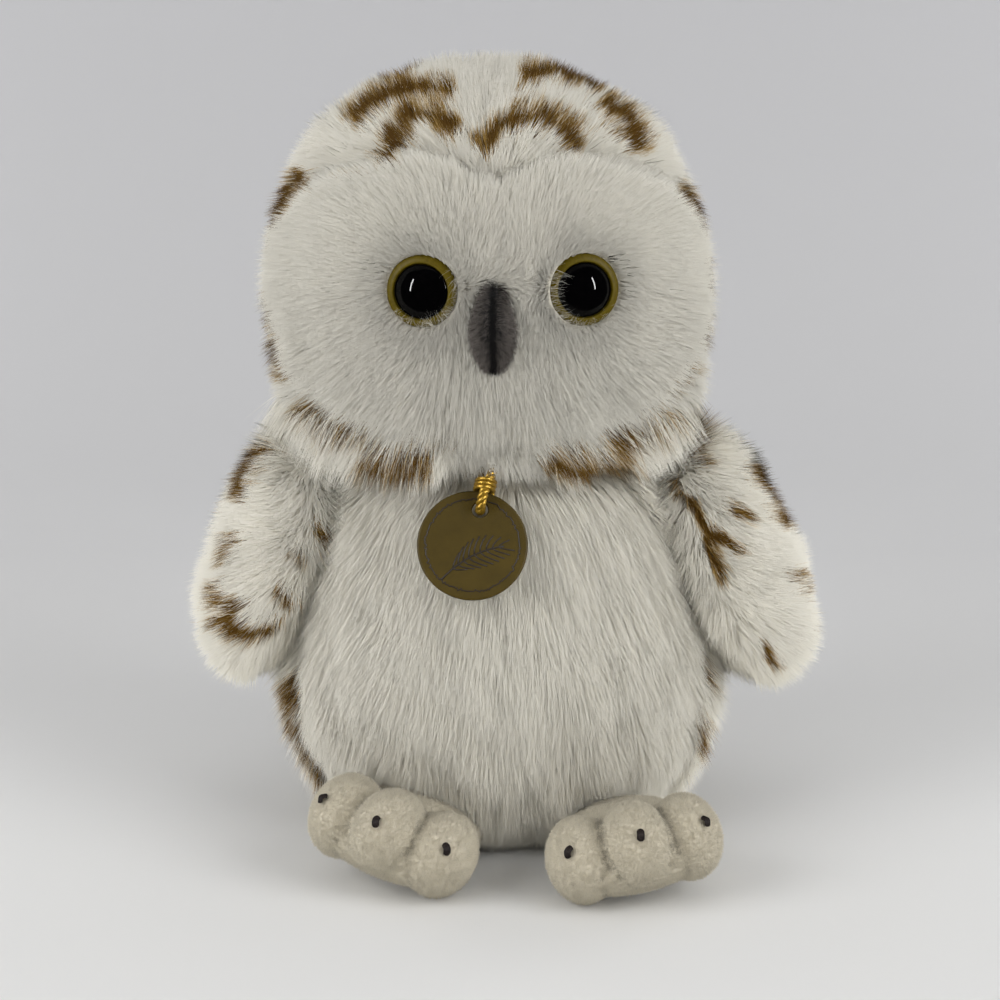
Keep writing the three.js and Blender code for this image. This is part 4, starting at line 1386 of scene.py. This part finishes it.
paper, tree, shader = new_material("paper", Roughness=0.85, Specular_IOR_Level=0.15)
x, y, _ = node(tree, "SeparateXYZ", {"Vector": node(tree, "TexCoord").outputs["Object"]}).outputs
# Painted shade: the paper's colour darkens with distance back from the front
depth = node(tree, "MapRange", {"Value": y, "From Min": SHADE_FROM, "From Max": SHADE_TO})
tree.links.new(ramp(tree, depth.outputs["Result"], PAPER_SHADE_STOPS), shader.inputs["Base Color"])
aside = reckoned(tree, "MULTIPLY_ADD", y, -FADE_WIDENING, reckoned(tree, "ABSOLUTE", x))
far = reckoned(tree, "MAXIMUM", aside, reckoned(tree, "SUBTRACT", FADE_AHEAD, y))
fade = node(tree, "MapRange", {"Value": far, "From Min": FADE_FROM, "From Max": FADE_TO},
            interpolation_type="SMOOTHSTEP").outputs["Result"]
gone = reckoned(tree, "MULTIPLY", fade, seen_share(tree))
blend = node(tree, "MixShader", {0: gone, 1: shader.outputs[0], 2: node(tree, "BsdfTransparent").outputs[0]})
tree.links.new(blend.outputs[0], tree.nodes["Material Output"].inputs["Surface"])
backdrop.data.materials.append(paper)
backdrop.visible_glossy = False


# Light: broad panels for the fur, narrow strips for the eyes' highlights, and rear panels for the back

LAMPS = [  # name, place of the left one, size, watts, and the rays that pass it by
    ("panel", (1.15, -0.75, 0.7), (0.9, 1.2), 11.5, "glossy"),
    ("strip", (1.25, -0.75, 0.75), (0.13, 1.1), 50, "diffuse"),
    ("rear", (1.0, 0.55, 0.4), (0.6, 0.6), 2.4, "glossy"),
]


def area_light(name, place, size, watts, passed, target_height=0.12):
    light = bpy.data.lights.new(name, "AREA")
    light.shape = "RECTANGLE"
    light.size, light.size_y = size
    light.energy = watts
    lamp = add_object(name, light)
    lamp.location = place
    lamp.rotation_euler = (Vector((0, 0, target_height)) - Vector(place)).to_track_quat("-Z", "Y").to_euler()
    setattr(lamp, f"visible_{passed}", False)


for side, sign in SIDES.items():
    for name, (x, y, z), *settings in LAMPS:
        area_light(f"{name}_{side}", (sign * x, y, z), *settings)
area_light("top", (0.1, -0.3, 2.0), (2.8, 2.8), 8, "glossy", 0.1)

world = bpy.data.worlds.new("room")
world.use_nodes = True
tree = world.node_tree
lighting = tree.nodes["Background"]
lighting.inputs["Color"].default_value = (1, 0.995, 0.985, 1)
lighting.inputs["Strength"].default_value = 0.26
plain = node(tree, "Background", {"Color": BACKGROUND})
blend = node(tree, "MixShader", {0: seen_share(tree), 1: lighting.outputs[0], 2: plain.outputs[0]})
tree.links.new(blend.outputs[0], tree.nodes["World Output"].inputs["Surface"])
scene.world = world
world.cycles_visibility.glossy = False
scene.view_settings.view_transform = "Standard"
